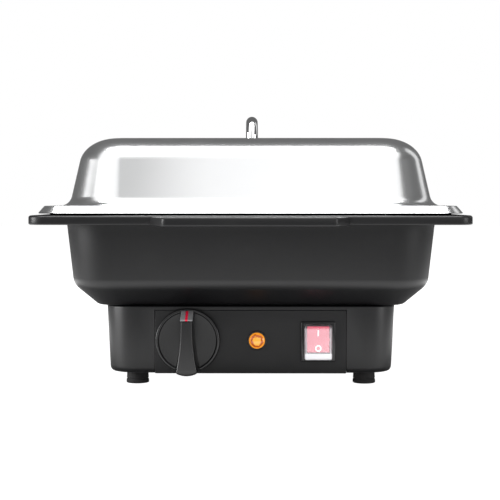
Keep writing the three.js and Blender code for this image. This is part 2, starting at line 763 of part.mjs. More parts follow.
/** A pan-head screw, its head at the bottom, pointing up from the height of its head's underside. */
function screw(headBottom, length) {
  const headTop = headBottom + SCREW_HEAD_THICKNESS;
  return turned([
    [0, headBottom],
    [SCREW_HEAD_RADIUS - 0.8, headBottom],
    [SCREW_HEAD_RADIUS, headBottom + 0.8],
    [SCREW_HEAD_RADIUS, headTop],
    [SCREW_RADIUS, headTop],
    [SCREW_RADIUS, headTop + length],
    [0, headTop + length],
  ], FINE_ROUND);
}

footPlaces.forEach(({ x, y, place }) => {
  add(`foot_${place}`, foot(), blackRubber).position.set(x, y, 0);
  const screwHead = FOOT_COUNTERBORE_DEPTH - GAP - SCREW_HEAD_THICKNESS;
  const length = FOOT_SCREW_RECESS + FOOT_SCREW_LENGTH - screwHead;
  add(`foot_screw_${place}`, screw(screwHead, length), zincSteel).position.set(x, y, 0);
});

basinScrewPlaces.forEach(({ x, y, place }) => {
  const headBottom = baseTop - BASE_WALL - GAP - SCREW_HEAD_THICKNESS;
  const length = BASE_WALL + 2 * GAP + BASIN_SCREW_BITE - GAP;
  add(`basin_screw_${place}`, screw(headBottom, length), zincSteel).position.set(x, y, 0);
});

// ---------------------------------------------------------------- heater
const shieldFlangeTop = basinBottom - GAP;
const shieldFlangeBottom = shieldFlangeTop - SHIELD_WALL;
const shieldBottom = shieldFlangeTop - SHIELD_DEPTH;
const heaterNutTop = shieldFlangeBottom - GAP;
const elementHeight = heaterUnderside - ELEMENT_CLEARANCE - ELEMENT_ROD / 2;
const bulbHeight = heaterUnderside - GAP - BULB_RADIUS;
const elementLegAngles = [90 + ELEMENT_OPEN_ANGLE / 2, 90 - ELEMENT_OPEN_ANGLE / 2];
const elementLegs = elementLegAngles.map((angle) => ({
  x: ELEMENT_RING_RADIUS * Math.cos(degrees(angle)),
  y: ELEMENT_RING_RADIUS * Math.sin(degrees(angle)),
}));
const capillaryPassage = { x: BULB_X, y: -BULB_LENGTH / 2 - CAPILLARY_BEND };

function heaterPlate() {
  const disc = round(HEATER_RADIUS, heaterUnderside, heaterUnderside + HEATER_THICKNESS, { sides: LARGE_ROUND });
  const studs = heaterStudPlaces.map(({ x, y }) => round(
    HEATER_STUD_RADIUS,
    heaterNutTop - HEATER_NUT_THICKNESS - 1,
    heaterUnderside + HEATER_THICKNESS / 2,
    { x, y, sides: FINE_ROUND },
  ));
  return unite(disc, ...studs);
}

add("heater_plate", heaterPlate(), brushedSteel);

function heaterGasket() {
  const from = basinFloor + GAP;
  const inner = HEATER_OPENING_RADIUS + GASKET_MARGIN;
  const flat = ring(HEATER_RADIUS - GASKET_MARGIN, inner, from, from + GASKET_THICKNESS, LARGE_ROUND);
  const holes = heaterStudPlaces.map(({ x, y }) => round(
    HEATER_STUD_RADIUS + GAP,
    from - 1,
    from + GASKET_THICKNESS + 1,
    { x, y, sides: FINE_ROUND },
  ));
  return cut(flat, ...holes);
}

add("heater_gasket", heaterGasket(), redSilicone);

function heatingElement() {
  const line = [];
  const legEnd = elementHeight - ELEMENT_LEG;
  const [first, last] = elementLegs;
  line.push(new THREE.Vector3(first.x, first.y, legEnd));
  line.push(new THREE.Vector3(first.x, first.y, elementHeight - ELEMENT_ROD));
  const turnSteps = 20;
  const sweep = 360 - ELEMENT_OPEN_ANGLE;
  const lead = 6;
  for (let step = 0; step <= turnSteps; step += 1) {
    const angle = degrees(elementLegAngles[0] + lead + ((sweep - 2 * lead) * step) / turnSteps);
    const x = ELEMENT_RING_RADIUS * Math.cos(angle);
    line.push(new THREE.Vector3(x, ELEMENT_RING_RADIUS * Math.sin(angle), elementHeight));
  }
  line.push(new THREE.Vector3(last.x, last.y, elementHeight - ELEMENT_ROD));
  line.push(new THREE.Vector3(last.x, last.y, legEnd));
  return rod(line, ELEMENT_ROD / 2, 44);
}

add("heating_element", heatingElement(), zincSteel);

function passages(from, to, radius = PASSAGE_RADIUS) {
  return [...elementLegs, capillaryPassage].map(({ x, y }) => round(radius, from, to, { x, y, sides: 16 }));
}

function heatShield() {
  const flangeHalf = HEATER_RADIUS;
  const inner = SHIELD_BODY_RADIUS - SHIELD_WALL;
  const dish = turned([
    [0, shieldBottom],
    [SHIELD_BODY_RADIUS, shieldBottom],
    [SHIELD_BODY_RADIUS, shieldFlangeBottom],
    [flangeHalf, shieldFlangeBottom],
    [flangeHalf, shieldFlangeTop],
    [inner, shieldFlangeTop],
    [inner, shieldBottom + SHIELD_WALL],
    [0, shieldBottom + SHIELD_WALL],
  ], LARGE_ROUND);
  const studHoles = heaterStudPlaces.map(({ x, y }) => round(
    HEATER_STUD_RADIUS + GAP,
    shieldFlangeBottom - 1,
    shieldFlangeTop + 1,
    { x, y, sides: FINE_ROUND },
  ));
  return cut(dish, ...studHoles, ...passages(shieldBottom - 1, shieldBottom + 2 * SHIELD_WALL));
}

add("heat_shield", heatShield(), aluminium);

function insulationDisc() {
  const from = shieldBottom + SHIELD_WALL + GAP;
  const radius = SHIELD_BODY_RADIUS - SHIELD_WALL - GAP;
  const disc = round(radius, from, from + INSULATION_THICKNESS, { sides: LARGE_ROUND });
  return cut(disc, ...passages(from - 1, from + INSULATION_THICKNESS + 1));
}

add("insulation_disc", insulationDisc(), mineralWool);

heaterStudPlaces.forEach(({ x, y }, index) => {
  const boreRadius = HEATER_STUD_RADIUS + GAP;
  const nut = hexNut(HEATER_NUT_RADIUS, boreRadius, heaterNutTop - HEATER_NUT_THICKNESS, heaterNutTop);
  add(`heater_nut_${index + 1}`, nut, zincSteel).position.set(x, y, 0);
});

add(
  "thermal_cutout",
  round(CUTOUT_RADIUS, heaterUnderside - GAP - CUTOUT_HEIGHT, heaterUnderside - GAP),
  creamPlastic,
);

// ---------------------------------------------------------------- control panel
const wallInside = BASE_WALL + BASE_DRAFT - PANEL_SETBACK; // from the panel's face to the wall's lowest inner edge
const lipFront = -(wallInside + GAP);
const panelBack = lipFront - PANEL_LIP_THICKNESS;

function controlPanel() {
  const half = panelHalf - PANEL_EDGE_GAP;
  const top = baseTop - BASE_WALL - PANEL_EDGE_GAP;
  const face = box([-half, baseBottom, lipFront], [half, top, 0]);
  const lipHalf = panelHalf + PANEL_LIP_WIDTH;
  const lip = box([-lipHalf, baseBottom + PANEL_LIP_CLEARANCE, panelBack], [lipHalf, top, lipFront]);
  const through = { from: panelBack - 1, to: 1 };
  const hole = (radius, x, y) => round(radius, through.from, through.to, { x, y });
  const bodyHalfWidth = SWITCH_BEZEL_WIDTH / 2 - SWITCH_BODY_MARGIN + GAP;
  const bodyHalfHeight = SWITCH_BEZEL_HEIGHT / 2 - SWITCH_BODY_MARGIN + GAP;
  return cut(
    unite(face, lip),
    hole(SHAFT_HOLE_RADIUS, KNOB_X, KNOB_Z),
    hole(SCREW_RADIUS + GAP, KNOB_X - THERMOSTAT_SCREW_SPREAD / 2, KNOB_Z),
    hole(SCREW_RADIUS + GAP, KNOB_X + THERMOSTAT_SCREW_SPREAD / 2, KNOB_Z),
    hole(LAMP_BARREL_RADIUS + GAP, LAMP_X, LAMP_Z),
    box(
      [SWITCH_X - bodyHalfWidth, SWITCH_Z - bodyHalfHeight, through.from],
      [SWITCH_X + bodyHalfWidth, SWITCH_Z + bodyHalfHeight, through.to],
    ),
  );
}

add("control_panel", controlPanel(), blackPlastic, controls);

// ---------------------------------------------------------------- thermostat
const thermostatFront = panelBack - GAP;
const thermostatBack = thermostatFront - THERMOSTAT_LENGTH;

function thermostatBody() {
  const half = THERMOSTAT_SIZE / 2;
  const block = box([-half, -half, thermostatBack], [half, half, thermostatFront]);
  const shaftBore = round(
    SHAFT_RADIUS + RUNNING_GAP,
    thermostatFront - SHAFT_DEPTH_IN_BODY - GAP,
    thermostatFront + 1,
  );
  const screwBores = [-1, 1].map((side) => round(
    SCREW_RADIUS + GAP,
    thermostatFront - 8 - GAP,
    thermostatFront + 1,
    { x: (side * THERMOSTAT_SCREW_SPREAD) / 2 },
  ));
  return cut(block, shaftBore, ...screwBores).translate(KNOB_X, KNOB_Z, 0);
}

add("thermostat_body", thermostatBody(), creamPlastic, controls);

[[-1, "left"], [1, "right"]].forEach(([side, place]) => {
  const length = GAP - thermostatFront + 8;
  const geometry = screw(0, length).rotateX(Math.PI);
  const mesh = add(`thermostat_screw_${place}`, geometry, zincSteel, controls);
  mesh.position.set(KNOB_X + (side * THERMOSTAT_SCREW_SPREAD) / 2, KNOB_Z, GAP + SCREW_HEAD_THICKNESS);
});

const knobFace = KNOB_STANDOFF + KNOB_SKIRT - KNOB_RING_RISE;
const shaftTip = KNOB_STANDOFF + SHAFT_DEPTH_IN_KNOB;
const thermostatShaft = round(SHAFT_RADIUS, thermostatFront - SHAFT_DEPTH_IN_BODY, shaftTip);
add("thermostat_shaft", thermostatShaft, zincSteel, controls).position.set(KNOB_X, KNOB_Z, 0);

// ---------------------------------------------------------------- knob
/** The knob's end slope, from the front of the bar down to the edge of the dial. */
const slopeStart = { y: KNOB_FACE_RADIUS - INSERT_RUN, z: KNOB_HEIGHT };
const slopeEnd = { y: KNOB_FACE_RADIUS - 1, z: KNOB_STANDOFF + KNOB_SKIRT + 2 };

/** A block across the knob, from the slope outwards, starting at a given depth under it. */
function slopeBlock(depth, thickness, halfWidth, overrun) {
  const run = slopeEnd.y - slopeStart.y;
  const drop = slopeStart.z - slopeEnd.z;
  const length = Math.hypot(run, drop);
  const block = box([-halfWidth, -overrun, -depth], [halfWidth, length + overrun, thickness - depth]);
  return block.rotateX(-Math.atan2(drop, run)).translate(0, slopeStart.y, slopeStart.z);
}

function knobBar() {
  const shape = new THREE.Shape();
  shape.moveTo(-BAR_TOP_HALF, KNOB_FACE_RADIUS - 1);
  shape.quadraticCurveTo(-BAR_WAIST_HALF, 0, -BAR_FOOT_HALF, -BAR_FOOT_REACH);
  shape.quadraticCurveTo(0, -BAR_FOOT_REACH - 2, BAR_FOOT_HALF, -BAR_FOOT_REACH);
  shape.quadraticCurveTo(BAR_WAIST_HALF, 0, BAR_TOP_HALF, KNOB_FACE_RADIUS - 1);
  shape.closePath();
  const depth = KNOB_HEIGHT - knobFace + KNOB_FACE / 2;
  const bar = new THREE.ExtrudeGeometry(shape, { depth, bevelEnabled: false, curveSegments: 8 });
  const places = bar.attributes.position;
  for (let index = 0; index < places.count; index += 1) {
    places.setX(index, places.getX(index) * (1 - (BAR_TAPER * places.getZ(index)) / depth));
  }
  return bar.translate(0, 0, knobFace - KNOB_FACE / 2);
}

function knob() {
  const dial = turned([
    [0, knobFace - KNOB_FACE],
    [KNOB_HOLLOW_RADIUS, knobFace - KNOB_FACE],
    [KNOB_HOLLOW_RADIUS, KNOB_STANDOFF],
    [KNOB_RADIUS, KNOB_STANDOFF],
    [KNOB_FACE_RADIUS, KNOB_STANDOFF + KNOB_SKIRT],
    [KNOB_FACE_RADIUS - KNOB_RING, KNOB_STANDOFF + KNOB_SKIRT],
    [KNOB_FACE_RADIUS - KNOB_RING - KNOB_RING_RISE / 2, knobFace],
    [0, knobFace],
  ], LARGE_ROUND);
  const bore = round(SHAFT_RADIUS + GAP, 0, shaftTip + GAP);
  const slope = slopeBlock(INSERT_THICKNESS + GAP, KNOB_HEIGHT, 2 * BAR_FOOT_HALF, KNOB_HEIGHT);
  return cut(unite(dial, cut(knobBar(), slope)), bore);
}

add("knob", knob(), blackPlastic, controls).position.set(KNOB_X, KNOB_Z, 0);

const knobInsert = slopeBlock(INSERT_THICKNESS, INSERT_THICKNESS, BAR_TOP_HALF - 0.6, 0);
add("knob_insert", knobInsert, greyPlastic, controls).position.set(KNOB_X, KNOB_Z, 0);

// ---------------------------------------------------------------- pilot lamp
const bezelTop = GAP + LAMP_BEZEL_THICKNESS;
const lensSeat = GAP + LAMP_BEZEL_THICKNESS / 2;

const lampBody = turned([
  [0, -LAMP_LENGTH],
  [LAMP_BARREL_RADIUS, -LAMP_LENGTH],
  [LAMP_BARREL_RADIUS, GAP],
  [LAMP_BEZEL_RADIUS, GAP],
  [LAMP_BEZEL_RADIUS, bezelTop],
  [LENS_RADIUS + GAP, bezelTop],
  [LENS_RADIUS + GAP, lensSeat],
  [0, lensSeat],
]);
add("lamp_body", lampBody, glossBlack, controls).position.set(LAMP_X, LAMP_Z, 0);

function lampLens() {
  const profile = [[0, lensSeat + GAP], [LENS_RADIUS, lensSeat + GAP]];
  const steps = 5;
  for (let step = 0; step <= steps; step += 1) {
    const angle = (step / steps) * (Math.PI / 2);
    const height = bezelTop + LENS_HEIGHT * Math.sin(angle);
    profile.push([step === steps ? 0 : LENS_RADIUS * Math.cos(angle), height]);
  }
  return turned(profile);
}

add("lamp_lens", lampLens(), amberLens, controls).position.set(LAMP_X, LAMP_Z, 0);

const lampNutFront = panelBack - GAP;
const lampNutBore = LAMP_BARREL_RADIUS + GAP;
const lampNut = hexNut(LAMP_NUT_RADIUS, lampNutBore, lampNutFront - LAMP_NUT_THICKNESS, lampNutFront);
add("lamp_nut", lampNut, blackPlastic, controls).position.set(LAMP_X, LAMP_Z, 0);

// ---------------------------------------------------------------- rocker switch
const coverSeat = 0.2;

function centred(width, height, from, to) {
  return box([-width / 2, -height / 2, from], [width / 2, height / 2, to]);
}

function switchBody() {
  const bezel = centred(SWITCH_BEZEL_WIDTH, SWITCH_BEZEL_HEIGHT, GAP, GAP + SWITCH_BEZEL_THICKNESS);
  const block = centred(
    SWITCH_BEZEL_WIDTH - 2 * SWITCH_BODY_MARGIN,
    SWITCH_BEZEL_HEIGHT - 2 * SWITCH_BODY_MARGIN,
    -SWITCH_DEPTH,
    GAP + SWITCH_BEZEL_THICKNESS / 2,
  );
  const coverRecess = centred(
    COVER_WIDTH + 2 * GAP,
    COVER_HEIGHT + 2 * GAP,
    coverSeat - GAP,
    GAP + SWITCH_BEZEL_THICKNESS + 1,
  );
  const well = centred(
    ROCKER_WIDTH + 2 * ROCKER_WELL_MARGIN,
    ROCKER_HEIGHT + 2 * ROCKER_WELL_MARGIN,
    -ROCKER_WELL_DEPTH,
    coverSeat,
  ).translate(0, ROCKER_OFFSET, 0);
  const pinHole = round(
    ROCKER_PIN_RADIUS + RUNNING_GAP,
    -ROCKER_WIDTH / 2 - ROCKER_PIN_REACH - GAP,
    ROCKER_WIDTH / 2 + ROCKER_PIN_REACH + GAP,
  ).rotateY(Math.PI / 2).translate(0, ROCKER_OFFSET, ROCKER_PIVOT_OUT);
  return cut(unite(bezel, block), coverRecess, well, pinHole);
}

add("switch_body", switchBody(), glossBlack, controls).position.set(SWITCH_X, SWITCH_Z, 0);

/** The rocker, drawn level about its pivot and then tipped with its top pressed in. */
function switchRocker() {
  const halfHeight = ROCKER_HEIGHT / 2;
  const endHeight = 5;
  const middleHeight = 3.6;
  const shape = new THREE.Shape();
  shape.moveTo(-halfHeight, endHeight);
  shape.lineTo(-halfHeight, 1.5);
  shape.quadraticCurveTo(-halfHeight, -3.5, -4, -4.5);
  shape.lineTo(4, -4.5);
  shape.quadraticCurveTo(halfHeight, -3.5, halfHeight, 1.5);
  shape.lineTo(halfHeight, endHeight);
  shape.quadraticCurveTo(0, 2 * middleHeight - endHeight, -halfHeight, endHeight);
  const paddle = new THREE.ExtrudeGeometry(shape, { depth: ROCKER_WIDTH, bevelEnabled: false, curveSegments: 6 });
  paddle.translate(0, -ROCKER_PIVOT_OUT, -ROCKER_WIDTH / 2);
  paddle.rotateZ(Math.PI / 2).rotateY(Math.PI / 2);
  const pinHalf = ROCKER_WIDTH / 2 + ROCKER_PIN_REACH;
  const pin = round(ROCKER_PIN_RADIUS, -pinHalf, pinHalf).rotateY(Math.PI / 2);
  return unite(paddle, pin).rotateX(degrees(-ROCKER_TILT));
}

const rocker = add("switch_rocker", switchRocker(), pinkRocker, controls);
rocker.position.set(SWITCH_X, SWITCH_Z + ROCKER_OFFSET, ROCKER_PIVOT_OUT);

const switchCover = cut(
  centred(COVER_WIDTH, COVER_HEIGHT, coverSeat, COVER_FRONT),
  centred(COVER_WIDTH - 2 * COVER_WALL, COVER_HEIGHT - 2 * COVER_WALL, coverSeat - 1, COVER_FRONT - COVER_WALL),
);
add("switch_cover", switchCover, clearSilicone, controls).position.set(SWITCH_X, SWITCH_Z, 0);

// ---------------------------------------------------------------- power entry and wiring
/** The gland's pieces are drawn along +Z and turned to face the rear. */
const glandGroup = new THREE.Group();
glandGroup.rotation.x = -Math.PI / 2;
glandGroup.position.set(GLAND_X, glandWallFace, GLAND_Z);
server.add(glandGroup);

function cableGland() {
  const barrel = round(GLAND_BARREL_RADIUS, -GLAND_BARREL_LENGTH, 1);
  const hex = round(GLAND_HEX_RADIUS, 0, GLAND_HEX_THICKNESS, { sides: 6 });
  const dome = round(
    GLAND_DOME_RADIUS,
    GLAND_HEX_THICKNESS - 1,
    GLAND_HEX_THICKNESS + GLAND_DOME_LENGTH,
    { topRadius: GLAND_DOME_RADIUS - 2.5 },
  );
  const bore = round(GLAND_BORE_RADIUS, -GLAND_BARREL_LENGTH - 1, GLAND_HEX_THICKNESS + GLAND_DOME_LENGTH + 1);
  return cut(unite(barrel, hex, dome), bore);
}

add("cable_gland", cableGland(), blackPlastic, glandGroup);

const glandNutTop = -(BASE_WALL + BASE_DRAFT + 2 * GAP);
const glandNutBore = GLAND_BARREL_RADIUS + GAP;
const glandNut = hexNut(GLAND_HEX_RADIUS, glandNutBore, glandNutTop - GLAND_NUT_THICKNESS, glandNutTop);
add("gland_nut", glandNut, blackPlastic, glandGroup);

const terminalBottom = basePlateTop + GAP;
const terminalTop = terminalBottom + TERMINAL_HEIGHT;
add(
  "terminal_block",
  box(
    [-TERMINAL_WIDTH / 2, TERMINAL_Y - TERMINAL_LENGTH / 2, terminalBottom],
    [TERMINAL_WIDTH / 2, TERMINAL_Y + TERMINAL_LENGTH / 2, terminalTop],
  ),
  creamPlastic,
);

/** A point of a lead, in the server's own frame. */
function at(x, y, z) {
  return new THREE.Vector3(x, y, z);
}

function capillary() {
  const bulb = round(BULB_RADIUS, -BULB_LENGTH / 2, BULB_LENGTH / 2, { sides: 16 });
  bulb.rotateX(Math.PI / 2).translate(BULB_X, 0, bulbHeight);
  const { x, y } = capillaryPassage;
  const backOfThermostat = panelFront - thermostatBack + GAP;
  const line = rod([
    at(BULB_X, -BULB_LENGTH / 2 + 4, bulbHeight),
    at(BULB_X, -BULB_LENGTH / 2 - 4, bulbHeight),
    at(x, y, bulbHeight - 6),
    at(x, y, shieldBottom - 8),
    at(x - 8, y - 40, KNOB_Z),
    at(KNOB_X, backOfThermostat + 30, KNOB_Z),
    at(KNOB_X, backOfThermostat, KNOB_Z),
  ], CAPILLARY_RADIUS, 28, 3);
  return unite(bulb, line);
}

add("thermostat_capillary", capillary(), copper);

const switchBack = panelFront + SWITCH_DEPTH + LEAD_GAP;
const lampBack = panelFront + LAMP_LENGTH + LEAD_GAP;
const terminalFront = TERMINAL_Y - TERMINAL_LENGTH / 2 - LEAD_GAP;
const terminalMiddle = (terminalBottom + terminalTop) / 2;
const [leftLeg, rightLeg] = elementLegs;
const legBottom = elementHeight - ELEMENT_LEG - LEAD_GAP;

const leads = {
  lead_terminal_to_switch: [
    at(10, terminalFront, terminalMiddle),
    at(10, terminalFront - 8, terminalMiddle),
    at(40, terminalFront - 30, terminalMiddle),
    at(90, 0, terminalMiddle),
    at(SWITCH_X + 6, switchBack + 40, SWITCH_Z - 4),
    at(SWITCH_X + 6, switchBack, SWITCH_Z - 4),
  ],
  lead_switch_to_lamp: [
    at(SWITCH_X - 6, switchBack, SWITCH_Z),
    at(SWITCH_X - 8, switchBack + 14, SWITCH_Z - 4),
    at(LAMP_X + 8, lampBack + 16, LAMP_Z - 4),
    at(LAMP_X, lampBack, LAMP_Z),
  ],
  lead_terminal_to_element: [
    at(0, terminalFront, terminalMiddle),
    at(0, terminalFront - 40, terminalMiddle),
    at(rightLeg.x, rightLeg.y + 20, terminalMiddle),
    at(rightLeg.x, rightLeg.y, terminalMiddle + 6),
    at(rightLeg.x, rightLeg.y, legBottom),
  ],
  lead_thermostat_to_element: [
    at(KNOB_X + 10, panelFront - thermostatBack + GAP, KNOB_Z - 10),
    at(KNOB_X + 10, panelFront - thermostatBack + 24, KNOB_Z - 12),
    at(-70, -40, terminalMiddle),
    at(leftLeg.x - 6, leftLeg.y - 6, terminalMiddle),
    at(leftLeg.x, leftLeg.y, terminalMiddle + 8),
    at(leftLeg.x, leftLeg.y, legBottom),
  ],
};

Object.entries(leads).forEach(([name, points]) => {
  add(name, rod(points, LEAD_RADIUS, 18, 3), insulatedLead);
});

export default server;
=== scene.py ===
"""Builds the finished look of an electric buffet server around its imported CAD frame.

Sizes are in millimetres and are turned into metres where a mesh is made. Places come from the CAD nodes'
boxes, so every piece sits where the frame says.
"""

from __future__ import annotations

import functools
import logging
import math
from collections.abc import Iterable, Sequence
from dataclasses import dataclass, field
from enum import Enum

import bmesh
import bpy
from mathutils import Matrix, Vector


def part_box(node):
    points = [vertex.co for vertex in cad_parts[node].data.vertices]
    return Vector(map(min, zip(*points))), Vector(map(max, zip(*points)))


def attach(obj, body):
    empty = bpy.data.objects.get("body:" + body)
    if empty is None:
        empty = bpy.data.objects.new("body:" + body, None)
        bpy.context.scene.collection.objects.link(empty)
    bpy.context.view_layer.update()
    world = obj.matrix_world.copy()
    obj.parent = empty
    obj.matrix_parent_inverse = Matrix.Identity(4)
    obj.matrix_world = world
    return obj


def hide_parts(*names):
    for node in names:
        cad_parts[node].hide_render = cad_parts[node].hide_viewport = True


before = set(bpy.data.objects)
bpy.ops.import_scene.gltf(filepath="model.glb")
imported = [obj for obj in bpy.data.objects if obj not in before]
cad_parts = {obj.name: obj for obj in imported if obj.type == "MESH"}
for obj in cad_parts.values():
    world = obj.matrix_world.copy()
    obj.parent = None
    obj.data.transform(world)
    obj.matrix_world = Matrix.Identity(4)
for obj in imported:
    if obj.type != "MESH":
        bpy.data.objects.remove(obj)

LOG = logging.getLogger("buffet_server")
MM = 0.001
SMOOTH_ANGLE = math.radians(32)

Point = tuple[float, float]
Colour = tuple[float, float, float]


# ------------------------------------------------------------------------------ frame helpers
@dataclass(frozen=True)
class Box:
    """A CAD node's box, in millimetres."""

    low: Vector
    high: Vector

    @classmethod
    def of(cls, node: str) -> Box:
        """The box of one CAD node at rest."""
        low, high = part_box(node)
        return cls(low / MM, high / MM)

    @property
    def centre(self) -> Vector:
        """The middle of the box."""
        return (self.low + self.high) / 2

    @property
    def size(self) -> Vector:
        """The box's three sides."""
        return self.high - self.low


class Body(Enum):
    """The rigid bodies that pieces ride on."""

    BASE = "base"
    PAN = "pan"
    LID = "lid"
    KNOB = "knob"
    ROCKER = "rocker"


# ------------------------------------------------------------------------------ shader groups
class Nodes:
    """A short way to fill a shader or geometry node tree."""

    def __init__(self, tree: bpy.types.NodeTree) -> None:
        """Keeps the tree that the nodes go into."""
        self.tree = tree

    def add(self, kind: str, inputs: dict | None = None, **settings: object) -> bpy.types.Node:
        """Adds one node.

        Args:
            kind: The node's type name.
            inputs: Values or output sockets for its inputs, by name or number.
            settings: Properties to set on the node.

        Returns:
            The new node.
        """
        node = self.tree.nodes.new(kind)
        for name, value in settings.items():
            setattr(node, name, value)
        for key, value in (inputs or {}).items():
            if isinstance(value, bpy.types.NodeSocket):
                self.tree.links.new(value, node.inputs[key])
            else:
                node.inputs[key].default_value = value
        return node

    def math(self, operation: str, *values: object, clamp: bool = False) -> bpy.types.NodeSocket:
        """The result of a Math node on numbers or sockets."""
        inputs = dict(enumerate(values))
        return self.add("ShaderNodeMath", inputs, operation=operation, use_clamp=clamp).outputs[0]

    def vector(self, operation: str, *values: object) -> bpy.types.NodeSocket:
        """The vector result of a Vector Math node."""
        return self.add("ShaderNodeVectorMath", dict(enumerate(values)), operation=operation).outputs[0]

    def mix(self, factor: object, first: object, second: object) -> bpy.types.NodeSocket:
        """A mix of two colours."""
        node = self.add("ShaderNodeMix", data_type="RGBA")
        for index, value in ((0, factor), (6, first), (7, second)):
            if isinstance(value, bpy.types.NodeSocket):
                self.tree.links.new(value, node.inputs[index])
            else:
                node.inputs[index].default_value = value
        return node.outputs[2]

    def noise(self, vector: object, scale: object, detail: float = 2.0) -> bpy.types.NodeSocket:
        """The value of a noise texture."""
        inputs = {"Vector": vector, "Scale": scale, "Detail": detail}
        return self.add("ShaderNodeTexNoise", inputs).outputs["Fac"]

    def ramp(self, value: object, low: float, high: float) -> bpy.types.NodeSocket:
        """A value spread so that low becomes 0 and high becomes 1, with soft ends."""
        inputs = {"Value": value, "From Min": low, "From Max": high}
        return self.add("ShaderNodeMapRange", inputs, interpolation_type="SMOOTHSTEP").outputs[0]


class Effects:
    """The shader groups that several finishes share, each made once."""

    @classmethod
    def _start(
        cls,
        name: str,
        inputs: dict[str, tuple[str, object]],
        outputs: dict[str, str],
    ) -> tuple[Nodes, bpy.types.NodeSocketCollection, bpy.types.Node]:
        """Makes an empty group with its sockets.

        Args:
            name: The group's name.
            inputs: Socket type and start value by input name.
            outputs: Socket type by output name.

        Returns:
            The builder, the group's inputs and its output node.
        """
        tree = bpy.data.node_groups.new(name, "ShaderNodeTree")
        for label, (kind, value) in inputs.items():
            socket = tree.interface.new_socket(label, in_out="INPUT", socket_type=kind)
            if value is not None:
                socket.default_value = value
        for label, kind in outputs.items():
            tree.interface.new_socket(label, in_out="OUTPUT", socket_type=kind)
        build = Nodes(tree)
        return build, build.add("NodeGroupInput").outputs, build.add("NodeGroupOutput")

    @classmethod
    @functools.cache
    def tone_drift(cls) -> bpy.types.NodeTree:
        """A slow drift between two colours, with a finer mottle on top."""
        build, given, out = cls._start(
            "tone_drift",
            {
                "Vector": ("NodeSocketVector", None),
                "Colour": ("NodeSocketColor", (0.5, 0.5, 0.5, 1.0)),
                "Drift Colour": ("NodeSocketColor", (0.4, 0.4, 0.4, 1.0)),
                "Scale": ("NodeSocketFloat", 12.0),
                "Mottle": ("NodeSocketFloat", 0.3),
            },
            {"Colour": "NodeSocketColor"},
        )
        slow = build.ramp(build.noise(given["Vector"], given["Scale"]), 0.35, 0.7)
        fine_scale = build.math("MULTIPLY", given["Scale"], 22.0)
        fine = build.ramp(build.noise(given["Vector"], fine_scale, 4.0), 0.3, 0.75)
        share = build.math("MULTIPLY", fine, given["Mottle"])
        both = build.math("ADD", build.math("MULTIPLY", slow, 0.7), share, clamp=True)
        build.tree.links.new(build.mix(both, given["Colour"], given["Drift Colour"]), out.inputs[0])
        return build.tree

    @classmethod
    @functools.cache
    def handling(cls) -> bpy.types.NodeTree:
        """Roughness changed by wiping marks and a few finger smudges."""
        build, given, out = cls._start(
            "handling",
            {
                "Vector": ("NodeSocketVector", None),
                "Roughness": ("NodeSocketFloat", 0.3),
                "Wipe": ("NodeSocketFloat", 0.05),
                "Smudge": ("NodeSocketFloat", 0.05),
                "Scale": ("NodeSocketFloat", 9.0),
            },
            {"Roughness": "NodeSocketFloat"},
        )
        stretched = build.vector("MULTIPLY", given["Vector"], (1.0, 0.35, 1.6))
        wiped = build.math("SUBTRACT", build.noise(stretched, given["Scale"], 3.0), 0.5)
        smudge_scale = build.math("MULTIPLY", given["Scale"], 3.2)
        smudged = build.ramp(build.noise(given["Vector"], smudge_scale, 1.0), 0.62, 0.74)
        wipe = build.math("MULTIPLY", wiped, given["Wipe"])
        smudge = build.math("MULTIPLY", smudged, given["Smudge"])
        total = build.math("ADD", given["Roughness"], build.math("ADD", wipe, smudge), clamp=True)
        build.tree.links.new(total, out.inputs[0])
        return build.tree

    @classmethod
    @functools.cache
    def moulded_grain(cls) -> bpy.types.NodeTree:
        """The fine pebbled skin of a moulding, as a height."""
        build, given, out = cls._start(
            "moulded_grain",
            {"Vector": ("NodeSocketVector", None), "Scale": ("NodeSocketFloat", 900.0)},
            {"Height": "NodeSocketFloat"},
        )
        cells = build.add(
            "ShaderNodeTexVoronoi",
            {"Vector": given["Vector"], "Scale": given["Scale"]},
            feature="SMOOTH_F1",
        ).outputs["Distance"]
        waves_scale = build.math("MULTIPLY", given["Scale"], 0.45)
        waves = build.noise(given["Vector"], waves_scale, 2.0)
        height = build.math("ADD", build.math("MULTIPLY", cells, 0.7), build.math("MULTIPLY", waves, 0.5))
        build.tree.links.new(height, out.inputs[0])
        return build.tree

    @classmethod
    @functools.cache
    def brushing(cls) -> bpy.types.NodeTree:
        """Lines drawn out along one direction, as a height."""
        build, given, out = cls._start(
            "brushing",
            {
                "Vector": ("NodeSocketVector", None),
                "Stretch": ("NodeSocketVector", (1.0, 0.01, 1.0)),
                "Scale": ("NodeSocketFloat", 1500.0),
            },
            {"Height": "NodeSocketFloat"},
        )
        drawn = build.vector("MULTIPLY", given["Vector"], given["Stretch"])
        fine = build.noise(drawn, given["Scale"], 3.0)
        broad = build.noise(drawn, build.math("MULTIPLY", given["Scale"], 0.22), 2.0)
        height = build.math("ADD", build.math("MULTIPLY", fine, 0.75), build.math("MULTIPLY", broad, 0.25))
        build.tree.links.new(height, out.inputs[0])
        return build.tree

    @classmethod
    @functools.cache
    def turning(cls) -> bpy.types.NodeTree:
        """Fine rings about a centre, as left by a lathe, as a height."""
        build, given, out = cls._start(
            "turning",
            {
                "Vector": ("NodeSocketVector", None),
                "Centre": ("NodeSocketVector", (0.0, 0.0, 0.0)),
                "Scale": ("NodeSocketFloat", 700.0),
            },
            {"Height": "NodeSocketFloat"},
        )
        arm = build.vector("SUBTRACT", given["Vector"], given["Centre"])
        length = build.add("ShaderNodeVectorMath", {0: arm}, operation="LENGTH").outputs["Value"]
        along = build.add("ShaderNodeCombineXYZ", {"X": length}).outputs[0]
        build.tree.links.new(build.noise(along, given["Scale"], 3.0), out.inputs[0])
        return build.tree

